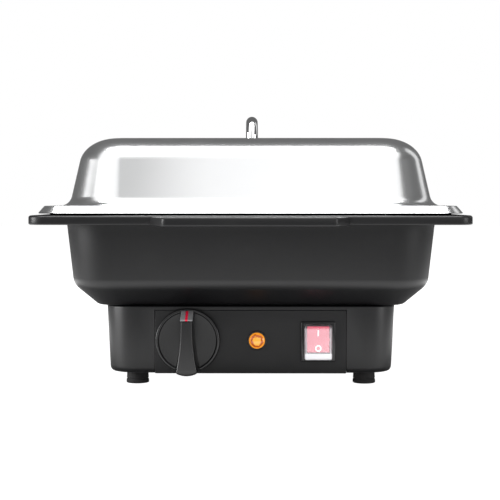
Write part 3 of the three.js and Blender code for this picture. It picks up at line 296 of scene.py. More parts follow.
    @classmethod
    @functools.cache
    def scratches(cls) -> bpy.types.NodeTree:
        """A few thin crossing hairlines, as a mask."""
        build, given, out = cls._start(
            "scratches",
            {"Vector": ("NodeSocketVector", None), "Scale": ("NodeSocketFloat", 26.0)},
            {"Mask": "NodeSocketFloat"},
        )
        masks = []
        for turn in (0.5, 2.1):
            mapped = build.add(
                "ShaderNodeMapping",
                {"Vector": given["Vector"], "Rotation": (turn, turn * 0.7, turn), "Scale": (1.0, 9.0, 1.0)},
            ).outputs[0]
            edge = build.add(
                "ShaderNodeTexVoronoi",
                {"Vector": mapped, "Scale": given["Scale"]},
                feature="DISTANCE_TO_EDGE",
            ).outputs["Distance"]
            line = build.math("SUBTRACT", 1.0, build.ramp(edge, 0.0, 0.012))
            patch = build.ramp(build.noise(mapped, 3.0), 0.56, 0.66)
            masks.append(build.math("MULTIPLY", line, patch))
        build.tree.links.new(build.math("MAXIMUM", *masks), out.inputs[0])
        return build.tree


# ------------------------------------------------------------------------------ finishes
class Texture(Enum):
    """What gives a finish its fine relief."""

    GRAINED = "grained"
    BRUSHED = "brushed"
    TURNED = "turned"
    SMOOTH = "smooth"


def rgba(colour: Colour) -> tuple[float, float, float, float]:
    """The colour with full alpha."""
    return (*colour, 1.0)


@dataclass(frozen=True)
class Finish:
    """One surface finish and how its material is put together."""

    name: str
    slot: str
    colour: Colour
    drift: Colour
    roughness: float
    metallic: float = 0.0
    texture: Texture = Texture.GRAINED
    grain_scale: float = 900.0
    relief: float = 0.15
    depth: float = 0.05
    stretch: tuple[float, float, float] = (1.0, 0.012, 1.0)
    centre: tuple[float, float, float] = (0.0, 0.0, 0.0)
    wipe: float = 0.06
    smudge: float = 0.05
    drift_scale: float = 14.0
    mottle: float = 0.3
    scratch: float = 0.0
    specular: float = 0.5
    coat: float = 0.0

    def _relief(self, build: Nodes, place: bpy.types.NodeSocket) -> bpy.types.NodeSocket | None:
        """The height of the finish's texture, or None where it's smooth."""
        inputs: dict[str, object] = {"Vector": place, "Scale": self.grain_scale}
        if self.texture is Texture.GRAINED:
            tree = Effects.moulded_grain()
        elif self.texture is Texture.BRUSHED:
            tree = Effects.brushing()
            inputs["Stretch"] = self.stretch
        elif self.texture is Texture.TURNED:
            tree = Effects.turning()
            inputs["Centre"] = self.centre
        else:
            return None
        return self._fill(build, tree, inputs)

    @staticmethod
    def _fill(build: Nodes, tree: bpy.types.NodeTree, inputs: dict[str, object]) -> bpy.types.NodeSocket:
        """Places a group with its inputs and gives its first output."""
        node = build.tree.nodes.new("ShaderNodeGroup")
        node.node_tree = tree
        for key, value in inputs.items():
            if isinstance(value, bpy.types.NodeSocket):
                build.tree.links.new(value, node.inputs[key])
            else:
                node.inputs[key].default_value = value
        return node.outputs[0]

    def shader(self, material: bpy.types.Material) -> tuple[Nodes, bpy.types.Node, bpy.types.NodeSocket]:
        """Fills a material with this finish.

        Args:
            material: The material to fill.

        Returns:
            The builder, the shader node and the Object coordinates.
        """
        material.use_nodes = True
        material.node_tree.nodes.clear()
        build = Nodes(material.node_tree)
        place = build.add("ShaderNodeTexCoord").outputs["Object"]
        shader = build.add(
            "ShaderNodeBsdfPrincipled",
            {"Metallic": self.metallic, "Specular IOR Level": self.specular, "Coat Weight": self.coat},
        )
        surface = build.add("ShaderNodeOutputMaterial", {"Surface": shader.outputs[0]})
        surface.location = (600, 0)
        colour = self._fill(build, Effects.tone_drift(), {
            "Vector": place,
            "Colour": rgba(self.colour),
            "Drift Colour": rgba(self.drift),
            "Scale": self.drift_scale,
            "Mottle": self.mottle,
        })
        rough = self._fill(build, Effects.handling(), {
            "Vector": place,
            "Roughness": self.roughness,
            "Wipe": self.wipe,
            "Smudge": self.smudge,
        })
        if self.scratch:
            mask = self._fill(build, Effects.scratches(), {"Vector": place})
            worn = build.math("MULTIPLY", mask, self.scratch)
            lighter = tuple(min(1.0, part * 1.5 + 0.03) for part in self.colour)
            colour = build.mix(worn, colour, rgba(lighter))
        build.tree.links.new(colour, shader.inputs["Base Color"])
        build.tree.links.new(rough, shader.inputs["Roughness"])
        height = self._relief(build, place)
        if height is not None:
            bump = build.add("ShaderNodeBump", {
                "Strength": self.relief,
                "Distance": self.depth * MM,
                "Height": height,
            })
            build.tree.links.new(bump.outputs[0], shader.inputs["Normal"])
        return build, shader, place

    def material(self) -> bpy.types.Material:
        """The finish's material, made on first use."""
        found = bpy.data.materials.get(self.name)
        if found:
            return found
        material = bpy.data.materials.new(self.name)
        material.diffuse_color = rgba(self.colour)
        self.shader(material)
        return material


@dataclass(frozen=True)
class LitLens(Finish):
    """A lamp's lens, lit from behind: a bright disc in a deeper ring, with a bright edge."""

    core: Colour = (1.0, 0.52, 0.07)
    ring: Colour = (0.26, 0.03, 0.0)
    edge: Colour = (0.95, 0.36, 0.03)
    radius: float = 6.6
    glow: float = 0.8

    def shader(self, material: bpy.types.Material) -> tuple[Nodes, bpy.types.Node, bpy.types.NodeSocket]:
        """Adds the glow to the plain finish."""
        build, shader, place = super().shader(material)
        arm = build.vector("SUBTRACT", place, self.centre)
        flat = build.vector("MULTIPLY", arm, (1.0, 0.0, 1.0))
        length = build.add("ShaderNodeVectorMath", {0: flat}, operation="LENGTH").outputs["Value"]
        share = build.math("DIVIDE", length, self.radius * MM)
        flicker = build.math("MULTIPLY", build.math("SUBTRACT", build.noise(place, 320.0), 0.5), 0.5)
        uneven = build.math("ADD", share, flicker)
        inner = build.ramp(uneven, 0.44, 0.60)
        outer = build.ramp(uneven, 0.72, 0.86)
        warm = build.mix(inner, rgba(self.core), rgba(self.ring))
        build.tree.links.new(build.mix(outer, warm, rgba(self.edge)), shader.inputs["Emission Color"])
        shader.inputs["Emission Strength"].default_value = self.glow
        return build, shader, place


@dataclass(frozen=True)
class MarkedPaddle(Finish):
    """The rocker's plastic, lit from inside, with a bar at its top and a ring at its bottom in white, and a
    painted shade band along its top edge.
    """

    bar_height: float = 0.0
    ring_height: float = 0.0
    # Height where the painted shade along the paddle's top edge begins.
    painted_shade_height: float = 0.0
    mark: Colour = (0.95, 0.93, 0.93)
    # Deeper red of the painted shade along the top edge, standing in for the shadow under the frame's top
    # edge.
    painted_shade_colour: Colour = (0.42, 0.0, 0.04)
    glow: float = 0.5

    def shader(self, material: bpy.types.Material) -> tuple[Nodes, bpy.types.Node, bpy.types.NodeSocket]:
        """Adds the marks, the painted shade band at the top edge and the glow."""
        build, shader, place = super().shader(material)
        split = build.add("ShaderNodeSeparateXYZ", {0: place}).outputs
        across = build.math("SUBTRACT", split["X"], self.centre[0])

        def near(value: bpy.types.NodeSocket, middle: float, half: float) -> bpy.types.NodeSocket:
            """1 where a value is within half of the middle."""
            off = build.math("ABSOLUTE", build.math("SUBTRACT", value, middle))
            return build.math("SUBTRACT", 1.0, build.ramp(off, (half - 0.06) * MM, (half + 0.06) * MM))

        bar = build.math(
            "MULTIPLY",
            near(across, 0.0, 0.55),
            near(split["Z"], self.bar_height, 2.4),
        )
        up = build.math("SUBTRACT", split["Z"], self.ring_height)
        squares = build.math("ADD", build.math("MULTIPLY", across, across), build.math("MULTIPLY", up, up))
        ring = near(build.math("SQRT", squares), 2.1 * MM, 0.5)
        # Painted shade: above this height the paddle turns deeper red, standing in for the shadow under the
        # frame's top edge.
        base = build.mix(
            build.ramp(split["Z"], self.painted_shade_height - 0.6 * MM, self.painted_shade_height + 0.5 * MM),
            shader.inputs["Base Color"].links[0].from_socket,
            rgba(self.painted_shade_colour),
        )
        colour = build.mix(build.math("MAXIMUM", bar, ring), base, rgba(self.mark))
        build.tree.links.new(colour, shader.inputs["Base Color"])
        build.tree.links.new(colour, shader.inputs["Emission Color"])
        shader.inputs["Emission Strength"].default_value = self.glow
        return build, shader, place


@dataclass(frozen=True)
class PointerFace(Finish):
    """The knob's end face, with one coloured line along its middle."""

    line: Colour = (0.62, 0.0, 0.03)
    line_half: float = 1.05

    def shader(self, material: bpy.types.Material) -> tuple[Nodes, bpy.types.Node, bpy.types.NodeSocket]:
        """Adds the line to the plain finish."""
        build, shader, place = super().shader(material)
        across = build.add("ShaderNodeSeparateXYZ", {0: place}).outputs["X"]
        off = build.math("ABSOLUTE", build.math("SUBTRACT", across, self.centre[0]))
        edge = build.ramp(off, (self.line_half - 0.1) * MM, (self.line_half + 0.1) * MM)
        plain = shader.inputs["Base Color"].links[0].from_socket
        build.tree.links.new(build.mix(edge, rgba(self.line), plain), shader.inputs["Base Color"])
        return build, shader, place


@dataclass(frozen=True)
class ClearSkin(Finish):
    """A clear soft cover: nearly invisible face on, milky in its walls, which glow with painted light."""

    front: float = 0.0
    lip_top: float = 0.0
    clear_above: float = 0.0
    face_alpha: float = 0.05
    wall_alpha: float = 0.62
    # How strongly the milky walls glow white: painted light, as the cover holds no lamp.
    wall_painted_light: float = 0.15

    def shader(self, material: bpy.types.Material) -> tuple[Nodes, bpy.types.Node, bpy.types.NodeSocket]:
        """Adds the see-through part, by depth behind the front face, and painted light glowing in the milky
        walls.
        """
        build, shader, place = super().shader(material)
        split = build.add("ShaderNodeSeparateXYZ", {0: place}).outputs
        deep = build.ramp(split["Y"], self.front + 0.7 * MM, self.front + 1.6 * MM)
        above_lip = build.ramp(split["Z"], self.lip_top - 0.8 * MM, self.lip_top + 0.4 * MM)
        near_top = build.ramp(split["Z"], self.clear_above - 3.0 * MM, self.clear_above)
        milky = build.math("MAXIMUM", deep, build.math("SUBTRACT", 1.0, above_lip))
        wall = build.math("MULTIPLY", milky, build.math("SUBTRACT", 1.0, near_top))
        alpha = build.add(
            "ShaderNodeMapRange",
            {"Value": wall, "To Min": self.face_alpha, "To Max": self.wall_alpha},
        ).outputs[0]
        build.tree.links.new(alpha, shader.inputs["Alpha"])
        # Painted light: the milky walls glow white to brighten them. The cover itself holds no lamp.
        shader.inputs["Emission Color"].default_value = rgba(self.colour)
        glow = build.math("MULTIPLY", wall, self.wall_painted_light)
        build.tree.links.new(glow, shader.inputs["Emission Strength"])
        return build, shader, place


BLACK_MOULDING = Finish(
    name="black_moulding", slot="black_plastic", colour=(0.0035, 0.0035, 0.004),
    drift=(0.005, 0.005, 0.0055),
    roughness=0.36, relief=0.22, depth=0.06, grain_scale=1100.0, scratch=0.06, wipe=0.08, specular=0.34,
)
PANEL_MOULDING = Finish(
    name="panel_moulding", slot="panel_plastic", colour=(0.0045, 0.0045, 0.005),
    drift=(0.006, 0.006, 0.0065),
    roughness=0.45, relief=0.25, depth=0.05, grain_scale=1500.0, scratch=0.06, specular=0.26,
)
KNOB_PLASTIC = Finish(
    name="knob_satin_plastic", slot="knob_plastic", colour=(0.003, 0.003, 0.0035),
    drift=(0.0045, 0.0045, 0.005),
    roughness=0.25, relief=0.12, depth=0.03, grain_scale=1800.0, scratch=0.06, specular=0.42,
)
GLOSS_BLACK = Finish(
    name="gloss_black_plastic", slot="gloss_black", colour=(0.006, 0.006, 0.0065),
    drift=(0.009, 0.009, 0.0095),
    roughness=0.22, relief=0.06, depth=0.02, grain_scale=2200.0, specular=0.35,
)
SATIN_STEEL = Finish(
    name="satin_steel", slot="brushed_steel", colour=(0.74, 0.745, 0.75), drift=(0.70, 0.705, 0.71),
    roughness=0.22, metallic=1.0, texture=Texture.BRUSHED, grain_scale=1400.0, relief=0.035, depth=0.02,
    wipe=0.05, smudge=0.03, mottle=0.12, drift_scale=7.0, scratch=0.12,
)
PAN_STEEL = Finish(
    name="drawn_pan_steel", slot="pan_steel", colour=(0.66, 0.665, 0.67), drift=(0.60, 0.605, 0.61),
    roughness=0.24, metallic=1.0, texture=Texture.BRUSHED, grain_scale=900.0, relief=0.06, depth=0.02,
    stretch=(0.02, 1.0, 1.0), wipe=0.08, smudge=0.06, scratch=0.35,
)
POLISHED_STEEL = Finish(
    name="polished_rod_steel", slot="polished_steel", colour=(0.80, 0.805, 0.81),
    drift=(0.76, 0.765, 0.77),
    roughness=0.07, metallic=1.0, texture=Texture.SMOOTH, wipe=0.03, smudge=0.05, mottle=0.1,
)
ZINC_STEEL = Finish(
    name="zinc_plated_steel", slot="zinc_steel", colour=(0.46, 0.47, 0.49),
    drift=(0.36, 0.37, 0.40),
    roughness=0.38, metallic=1.0, grain_scale=500.0, relief=0.08, depth=0.03, wipe=0.12, scratch=0.3,
)
HEATER_STEEL = Finish(
    name="turned_heater_steel", slot="brushed_steel", colour=(0.60, 0.605, 0.61),
    drift=(0.50, 0.49, 0.47),
    roughness=0.27, metallic=1.0, texture=Texture.TURNED, grain_scale=900.0, relief=0.2, depth=0.03,
    smudge=0.12,
)
SHEET_ALUMINIUM = Finish(
    name="sheet_aluminium", slot="aluminium", colour=(0.55, 0.56, 0.57), drift=(0.47, 0.48, 0.49),
    roughness=0.35, metallic=1.0, grain_scale=700.0, relief=0.08,
)
FOOT_RUBBER = Finish(
    name="moulded_foot_rubber", slot="foot_rubber", colour=(0.010, 0.010, 0.011),
    drift=(0.022, 0.021, 0.021),
    roughness=0.72, relief=0.35, depth=0.08, grain_scale=1300.0, mottle=0.5, specular=0.35,
)
RED_SILICONE = Finish(
    name="soft_red_silicone", slot="red_silicone", colour=(0.36, 0.045, 0.03),
    drift=(0.28, 0.03, 0.02),
    roughness=0.55, relief=0.15,
)
MINERAL_WOOL = Finish(
    name="pressed_mineral_wool", slot="mineral_wool", colour=(0.62, 0.58, 0.50),
    drift=(0.50, 0.45, 0.37),
    roughness=0.95, texture=Texture.BRUSHED, grain_scale=400.0, relief=0.8, depth=0.4,
    stretch=(1.0, 0.3, 1.0),
)
CREAM_PLASTIC = Finish(
    name="cream_moulding", slot="cream_plastic", colour=(0.68, 0.63, 0.54),
    drift=(0.60, 0.55, 0.46),
    roughness=0.5, relief=0.12,
)
COPPER = Finish(
    name="drawn_copper", slot="copper", colour=(0.62, 0.27, 0.15), drift=(0.42, 0.16, 0.09),
    roughness=0.3, metallic=1.0, grain_scale=600.0, relief=0.06,
)
LEAD_SLEEVE = Finish(
    name="woven_lead_sleeve", slot="insulated_lead", colour=(0.24, 0.08, 0.04),
    drift=(0.16, 0.05, 0.03),
    roughness=0.7, texture=Texture.BRUSHED, grain_scale=2200.0, relief=0.6, depth=0.1,
    stretch=(1.0, 1.0, 0.4),
)


# ------------------------------------------------------------------------------ mesh helpers
def new_object(name: str, data: bpy.types.ID) -> bpy.types.Object:
    """An object for a mesh, a camera or a light, linked to the scene."""
    made = bpy.data.objects.new(name, data)
    bpy.context.scene.collection.objects.link(made)
    return made


def from_bmesh(name: str, form: bmesh.types.BMesh) -> bpy.types.Object:
    """An object of a bmesh in millimetres, which is freed."""
    bmesh.ops.scale(form, vec=(MM, MM, MM), verts=form.verts)
    mesh = bpy.data.meshes.new(name)
    form.to_mesh(mesh)
    form.free()
    return new_object(name, mesh)


def smooth(target: bpy.types.Object, angle: float = SMOOTH_ANGLE) -> bpy.types.Object:
    """Smooth shading, with edges sharper than the angle kept crisp."""
    target.data.polygons.foreach_set("use_smooth", [True] * len(target.data.polygons))
    target.data.set_sharp_from_angle(angle=angle)
    return target


def bake(target: bpy.types.Object) -> bpy.types.Object:
    """Turns the object's modifiers into a plain mesh."""
    graph = bpy.context.evaluated_depsgraph_get()
    graph.update()
    mesh = bpy.data.meshes.new_from_object(target.evaluated_get(graph), depsgraph=graph)
    mesh.name = target.name
    target.modifiers.clear()
    target.data = mesh
    return target


def merge(name: str, parts: Iterable[bpy.types.Object]) -> bpy.types.Object:
    """One object of several separate shells, in their order."""
    form = bmesh.new()
    for part in parts:
        form.from_mesh(part.data)
        bpy.data.objects.remove(part)
    mesh = bpy.data.meshes.new(name)
    form.to_mesh(mesh)
    form.free()
    return new_object(name, mesh)


def carve(
    target: bpy.types.Object,
    tools: Sequence[bpy.types.Object],
    operation: str = "DIFFERENCE",
) -> bpy.types.Object:
    """Cuts tools out of a mesh, or joins them to it.

    Args:
        target: The mesh to change.
        tools: Closed meshes, which are removed afterwards.
        operation: DIFFERENCE or UNION.

    Returns:
        The changed target.
    """
    for tool in tools:
        step = target.modifiers.new("carve", "BOOLEAN")
        step.operation = operation
        step.solver = "EXACT"
        step.object = tool
    bake(target)
    for tool in tools:
        bpy.data.objects.remove(tool)
    return target


def bevel(
    target: bpy.types.Object,
    width: float,
    segments: int = 3,
    angle: float = 40.0,
) -> bpy.types.Object:
    """Rounds the edges that are sharper than the angle."""
    step = target.modifiers.new("bevel", "BEVEL")
    step.width = width * MM
    step.segments = segments
    step.limit_method = "ANGLE"
    step.angle_limit = math.radians(angle)
    step.use_clamp_overlap = True
    return bake(target)


def block(name: str, low: Sequence[float], high: Sequence[float]) -> bpy.types.Object:
    """A box between two corners."""
    form = bmesh.new()
    bmesh.ops.create_cube(form, size=1.0)
    size = Vector(high) - Vector(low)
    middle = (Vector(high) + Vector(low)) / 2
    placing = Matrix.Translation(middle) @ Matrix.Diagonal((*size, 1.0))
    bmesh.ops.transform(form, matrix=placing, verts=form.verts)
    return from_bmesh(name, form)


def oblong(wide: float, tall: float) -> list[Point]:
    """The corners of a centred rectangle, counter-clockwise, from its half sizes."""
    return [(-wide, -tall), (wide, -tall), (wide, tall), (-wide, tall)]


def prism(name: str, outline: Sequence[Point], low: float, high: float) -> bpy.types.Object:
    """An outline in X and Y, given counter-clockwise, raised from one height to another."""
    form = bmesh.new()
    rings = [[form.verts.new((x, y, z)) for x, y in outline] for z in (low, high)]
    form.faces.new(reversed(rings[0]))
    form.faces.new(rings[1])
    count = len(outline)
    for index in range(count):
        after = (index + 1) % count
        form.faces.new((rings[0][index], rings[0][after], rings[1][after], rings[1][index]))
    return from_bmesh(name, form)


def turned(name: str, profile: Sequence[Point], sides: int = 64) -> bpy.types.Object:
    """A solid turned about +Z, from a profile of radius and height that runs up its outside.

    Args:
        name: The object's name.
        profile: Radius and height points. Radius 0 makes a pole. Without poles the profile closes on
            itself.
        sides: Facets round the axis.

    Returns:
        The closed solid.
    """
    form = bmesh.new()
    rings: list[list[bmesh.types.BMVert]] = []
    for radius, height in profile:
        if radius < 1e-6:
            rings.append([form.verts.new((0.0, 0.0, height))])
            continue
        rings.append([
            form.verts.new((
                radius * math.cos(2 * math.pi * index / sides),
                radius * math.sin(2 * math.pi * index / sides),
                height,
            ))
            for index in range(sides)
        ])
    pairs = list(zip(rings, rings[1:]))
    if len(rings[0]) > 1:
        pairs.append((rings[-1], rings[0]))
    for low, high in pairs:
        for index in range(sides):
            after = (index + 1) % sides
            corners = [
                low[index % len(low)],
                low[after % len(low)],
                high[after % len(high)],
                high[index % len(high)],
            ]
            unique = list(dict.fromkeys(corners))
            if len(unique) > 2:
                form.faces.new(unique)
    return from_bmesh(name, form)


def rounded(points: Sequence[tuple[float, float, float]], steps: int = 4) -> list[Point]:
    """Rounds the corners of a flat line, apart from its two ends.

    Args:
        points: X, Y and the radius of each corner, 0 where it stays sharp.
        steps: Pieces in each round corner.

    Returns:
        The line's points.
    """
    line: list[Point] = []
    for index, (x, y, radius) in enumerate(points):
        corner = Vector((x, y))
        if radius <= 0 or index in (0, len(points) - 1):
            line.append((x, y))
            continue
        back = (Vector(points[index - 1][:2]) - corner).normalized()
        ahead = (Vector(points[index + 1][:2]) - corner).normalized()
        half_angle = back.angle(ahead) / 2
        centre = corner + (back + ahead).normalized() * (radius / math.sin(half_angle))
        start = corner + back * (radius / math.tan(half_angle)) - centre
        turn = start.angle_signed(corner + ahead * (radius / math.tan(half_angle)) - centre)
        for step in range(steps + 1):
            arm = start.copy()
            arm.rotate(Matrix.Rotation(-turn * step / steps, 2))
            line.append(tuple(centre + arm))
    return line


def up_front(target: bpy.types.Object, x: float, z: float, front: float) -> bpy.types.Object:
    """Stands a piece drawn face on (X right, Y up, Z towards the viewer) on the panel's front.

    Args:
        target: The piece, whose mesh is moved.
        x: Where its origin goes across.
        z: Where its origin goes up.
        front: The panel's front, along Y.

    Returns:
        The same piece.
    """
    stand = Matrix.Translation(Vector((x, front, z)) * MM) @ Matrix.Rotation(math.pi / 2, 4, "X")
    target.data.transform(stand)
    return target


# ------------------------------------------------------------------------------ lofted shells
@dataclass(frozen=True)
class Stop:
    """One outline of a lofted shell: half its width, its height, and where its plan corners are centred."""

    half: float
    z: float
    centre: float

    def outline(self, stretch: float, steps: int) -> list[tuple[float, float, float]]:
        """The rounded rectangle's points, counter-clockwise from above.

        Args:
            stretch: How much further the outline reaches along Y than along X.
            steps: Pieces in each plan corner.

        Returns:
            The points.
        """
        radius = max(self.half - self.centre, 0.2)
        points = []
        for quarter, (sign_x, sign_y) in enumerate(((1, 1), (-1, 1), (-1, -1), (1, -1))):
            middle_x = sign_x * (self.half - radius)
            middle_y = sign_y * (self.half + stretch - radius)
            for step in range(steps + 1):
                angle = (quarter + step / steps) * math.pi / 2
                across, along = radius * math.cos(angle), radius * math.sin(angle)
                points.append((middle_x + across, middle_y + along, self.z))
        return points


def arc(
    middle: Point,
    reach: float,
    rise: float,
    angles: tuple[float, float],
    centre: float,
    steps: int = 10,
) -> list[Stop]:
    """Stops along part of an ellipse, in degrees from the outward direction."""
    first, last = angles
    stops = []
    for step in range(steps + 1):
        angle = math.radians(first + (last - first) * step / steps)
        stops.append(Stop(middle[0] + reach * math.cos(angle), middle[1] + rise * math.sin(angle), centre))
    return stops


def inside(stops: Sequence[Stop], wall: float) -> list[Stop]:
    """The stops moved by a wall's thickness to the left of the way they run, in reverse order."""
    moved = []
    for index, stop in enumerate(stops):
        before = stops[max(index - 1, 0)]
        after = stops[min(index + 1, len(stops) - 1)]
        into = Vector((stop.half - before.half, stop.z - before.z))
        out = Vector((after.half - stop.half, after.z - stop.z))
        into = into.normalized() if into.length else out.normalized()
        out = out.normalized() if out.length else into
        along = (into + out).normalized()
        share = wall / max(along.dot(out), 0.35)
        moved.append(Stop(stop.half - along.y * share, stop.z + along.x * share, stop.centre))
    return moved[::-1]


def fillets(corners: Sequence[tuple[float, float, float, float]], steps: int = 4) -> list[Stop]:
    """Stops along a line with round corners, each given as half width, height, radius and corner centre."""
    line = rounded([(half, z, radius) for half, z, radius, _ in corners], steps)
    centres = []
    for index, (_, _, radius, centre) in enumerate(corners):
        plain = radius <= 0 or index in (0, len(corners) - 1)
        centres.extend([centre] * (1 if plain else steps + 1))
    return [Stop(half, z, centre) for (half, z), centre in zip(line, centres)]


def loft(
    name: str,
    stops: Sequence[Stop],
    stretch: float,
    joined: bool = False,
    steps: int = 14,
) -> bpy.types.Object:
    """A closed shell through the stops, which run up its outside.

    Args:
        name: The object's name.
        stops: The outlines in order.
        stretch: How much longer each outline is along Y than along X, on each side.
        joined: True joins the last stop to the first. False closes both ends with a flat face.
        steps: Pieces in each plan corner.

    Returns:
        The shell.
    """
    form = bmesh.new()
    rings = [[form.verts.new(point) for point in stop.outline(stretch, steps)] for stop in stops]
    pairs = list(zip(rings, rings[1:]))
    if joined:
        pairs.append((rings[-1], rings[0]))
    else:
        form.faces.new(reversed(rings[0]))
        form.faces.new(rings[-1])
    count = len(rings[0])
    for low, high in pairs:
        for index in range(count):
            after = (index + 1) % count
            form.faces.new((low[index], low[after], high[after], high[index]))
    return from_bmesh(name, form)


# ------------------------------------------------------------------------------ geometry nodes
class Trees:
    """The geometry node trees, each made once, with named inputs."""

    @classmethod
    def _start(
        cls,
        name: str,
        inputs: dict[str, tuple[str, object]],
    ) -> tuple[Nodes, bpy.types.NodeSocketCollection, bpy.types.Node]:
        """Makes an empty tree that takes a geometry and named inputs, and gives a geometry."""
        tree = bpy.data.node_groups.new(name, "GeometryNodeTree")
        tree.interface.new_socket("Geometry", in_out="INPUT", socket_type="NodeSocketGeometry")
        for label, (kind, value) in inputs.items():
            socket = tree.interface.new_socket(label, in_out="INPUT", socket_type=kind)
            if value is not None:
                socket.default_value = value
        tree.interface.new_socket("Geometry", in_out="OUTPUT", socket_type="NodeSocketGeometry")
        build = Nodes(tree)
        return build, build.add("NodeGroupInput").outputs, build.add("NodeGroupOutput")

    @staticmethod
    def _end(
        build: Nodes,
        given: bpy.types.NodeSocketCollection,
        out: bpy.types.Node,
        shape: object,
    ) -> None:
        """Realizes the instances, sets the material and closes the tree."""
        real = build.add("GeometryNodeRealizeInstances", {"Geometry": shape}).outputs[0]
        dressed = build.add("GeometryNodeSetMaterial", {"Geometry": real, "Material": given["Material"]})
        build.tree.links.new(dressed.outputs[0], out.inputs[0])

    @classmethod
    @functools.cache
    def rod(cls) -> bpy.types.NodeTree:
        """A round rod along a line of edges, with its bends rounded."""
        build, given, out = cls._start("rod", {
            "Rod Radius": ("NodeSocketFloat", 0.005),
            "Bend Radius": ("NodeSocketFloat", 0.014),
            "Bend Steps": ("NodeSocketInt", 10),
            "Sides": ("NodeSocketInt", 24),
            "Material": ("NodeSocketMaterial", None),
        })
        line = build.add("GeometryNodeMeshToCurve", {0: given["Geometry"]}).outputs[0]
        bent = build.add(
            "GeometryNodeFilletCurve",
            {
                "Curve": line,
                "Radius": given["Bend Radius"],
                "Count": given["Bend Steps"],
                "Limit Radius": True,
            },
            mode="POLY",
        ).outputs[0]
        section = build.add(
            "GeometryNodeCurvePrimitiveCircle",
            {"Resolution": given["Sides"], "Radius": given["Rod Radius"]},
        ).outputs[0]
        tube = build.add(
            "GeometryNodeCurveToMesh",
            {"Curve": bent, "Profile Curve": section, "Fill Caps": True},
        ).outputs[0]
        cls._end(build, given, out, tube)
        return build.tree

    @classmethod
    @functools.cache
    def corners(cls) -> bpy.types.NodeTree:
        """A copy of the geometry at each corner of a rectangle."""
        build, given, out = cls._start("corners", {
            "Across": ("NodeSocketFloat", 0.2),
            "Along": ("NodeSocketFloat", 0.4),
            "Material": ("NodeSocketMaterial", None),
        })
        grid = build.add(
            "GeometryNodeMeshGrid",
            {"Size X": given["Across"], "Size Y": given["Along"], "Vertices X": 2, "Vertices Y": 2},
        ).outputs[0]
        placed = build.add("GeometryNodeInstanceOnPoints", {"Points": grid, "Instance": given["Geometry"]})
        cls._end(build, given, out, placed.outputs[0])
        return build.tree

    @classmethod
    @functools.cache
    def round_about(cls) -> bpy.types.NodeTree:
        """Copies of the geometry evenly round the Z axis, each turned to face outwards."""
        build, given, out = cls._start("round_about", {
            "Count": ("NodeSocketInt", 12),
            "Radius": ("NodeSocketFloat", 0.01),
            "Material": ("NodeSocketMaterial", None),
        })
        circle = build.add(
            "GeometryNodeMeshCircle",
            {"Vertices": given["Count"], "Radius": given["Radius"]},
        ).outputs[0]
        place = build.add("GeometryNodeInputPosition").outputs[0]
        facing = build.add("FunctionNodeAlignRotationToVector", {"Vector": place}, axis="X").outputs[0]
        placed = build.add(
            "GeometryNodeInstanceOnPoints",
            {"Points": circle, "Instance": given["Geometry"], "Rotation": facing},
        )
        cls._end(build, given, out, placed.outputs[0])
        return build.tree


def grow(target: bpy.types.Object, tree: bpy.types.NodeTree, values: dict[str, object]) -> bpy.types.Object:
    """Runs a geometry node tree on an object and keeps the result as its mesh.

    Args:
        target: The object whose mesh goes in.
        tree: The tree to run.
        values: The tree's inputs by name.

    Returns:
        The same object with its new mesh.
    """
    step = target.modifiers.new("grow", "NODES")
    step.node_group = tree
    for item in tree.interface.items_tree:
        if item.in_out == "INPUT" and item.name in values:
            step[item.identifier] = values[item.name]
    return bake(target)


def rod(
    name: str,
    points: Sequence[Sequence[float]],
    radius: float,
    bend: float,
    finish: Finish,
    sides: int = 24,
    bend_steps: int = 10,
) -> bpy.types.Object:
    """A round rod along straight runs with round bends."""
    form = bmesh.new()
    verts = [form.verts.new(point) for point in points]
    for first, second in zip(verts, verts[1:]):
        form.edges.new((first, second))
    return grow(from_bmesh(name, form), Trees.rod(), {
        "Rod Radius": radius * MM,
        "Bend Radius": bend * MM,
        "Bend Steps": bend_steps,
        "Sides": sides,
        "Material": finish.material(),
    })


# ------------------------------------------------------------------------------ piece keeping
def keep(
    piece: bpy.types.Object,
    finish: Finish,
    body: Body,
    *nodes: str,
    angle: float = SMOOTH_ANGLE,
) -> bpy.types.Object:
    """Dresses a finished piece and ties it to the frame.

    Args:
        piece: The piece, in place.
        finish: Its finish.
        body: The body it rides on.
        nodes: The CAD nodes it stands for.
        angle: Edges sharper than this stay crisp.

    Returns:
        The same piece.
    """
    smooth(piece, angle)
    piece.data.materials.clear()
    piece.data.materials.append(finish.material())
    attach(piece, body.value)
    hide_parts(*nodes)
    LOG.info("%s: %d faces, rides on %s", piece.name, len(piece.data.polygons), body.value)
    return piece


def dress(finish: Finish, *nodes: str) -> None:
    """Gives CAD nodes that stay a finish."""
    for node in nodes:
        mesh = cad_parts[node].data
        mesh.materials.clear()
        mesh.materials.append(finish.material())
        LOG.info("%s: kept, %s", node, finish.name)


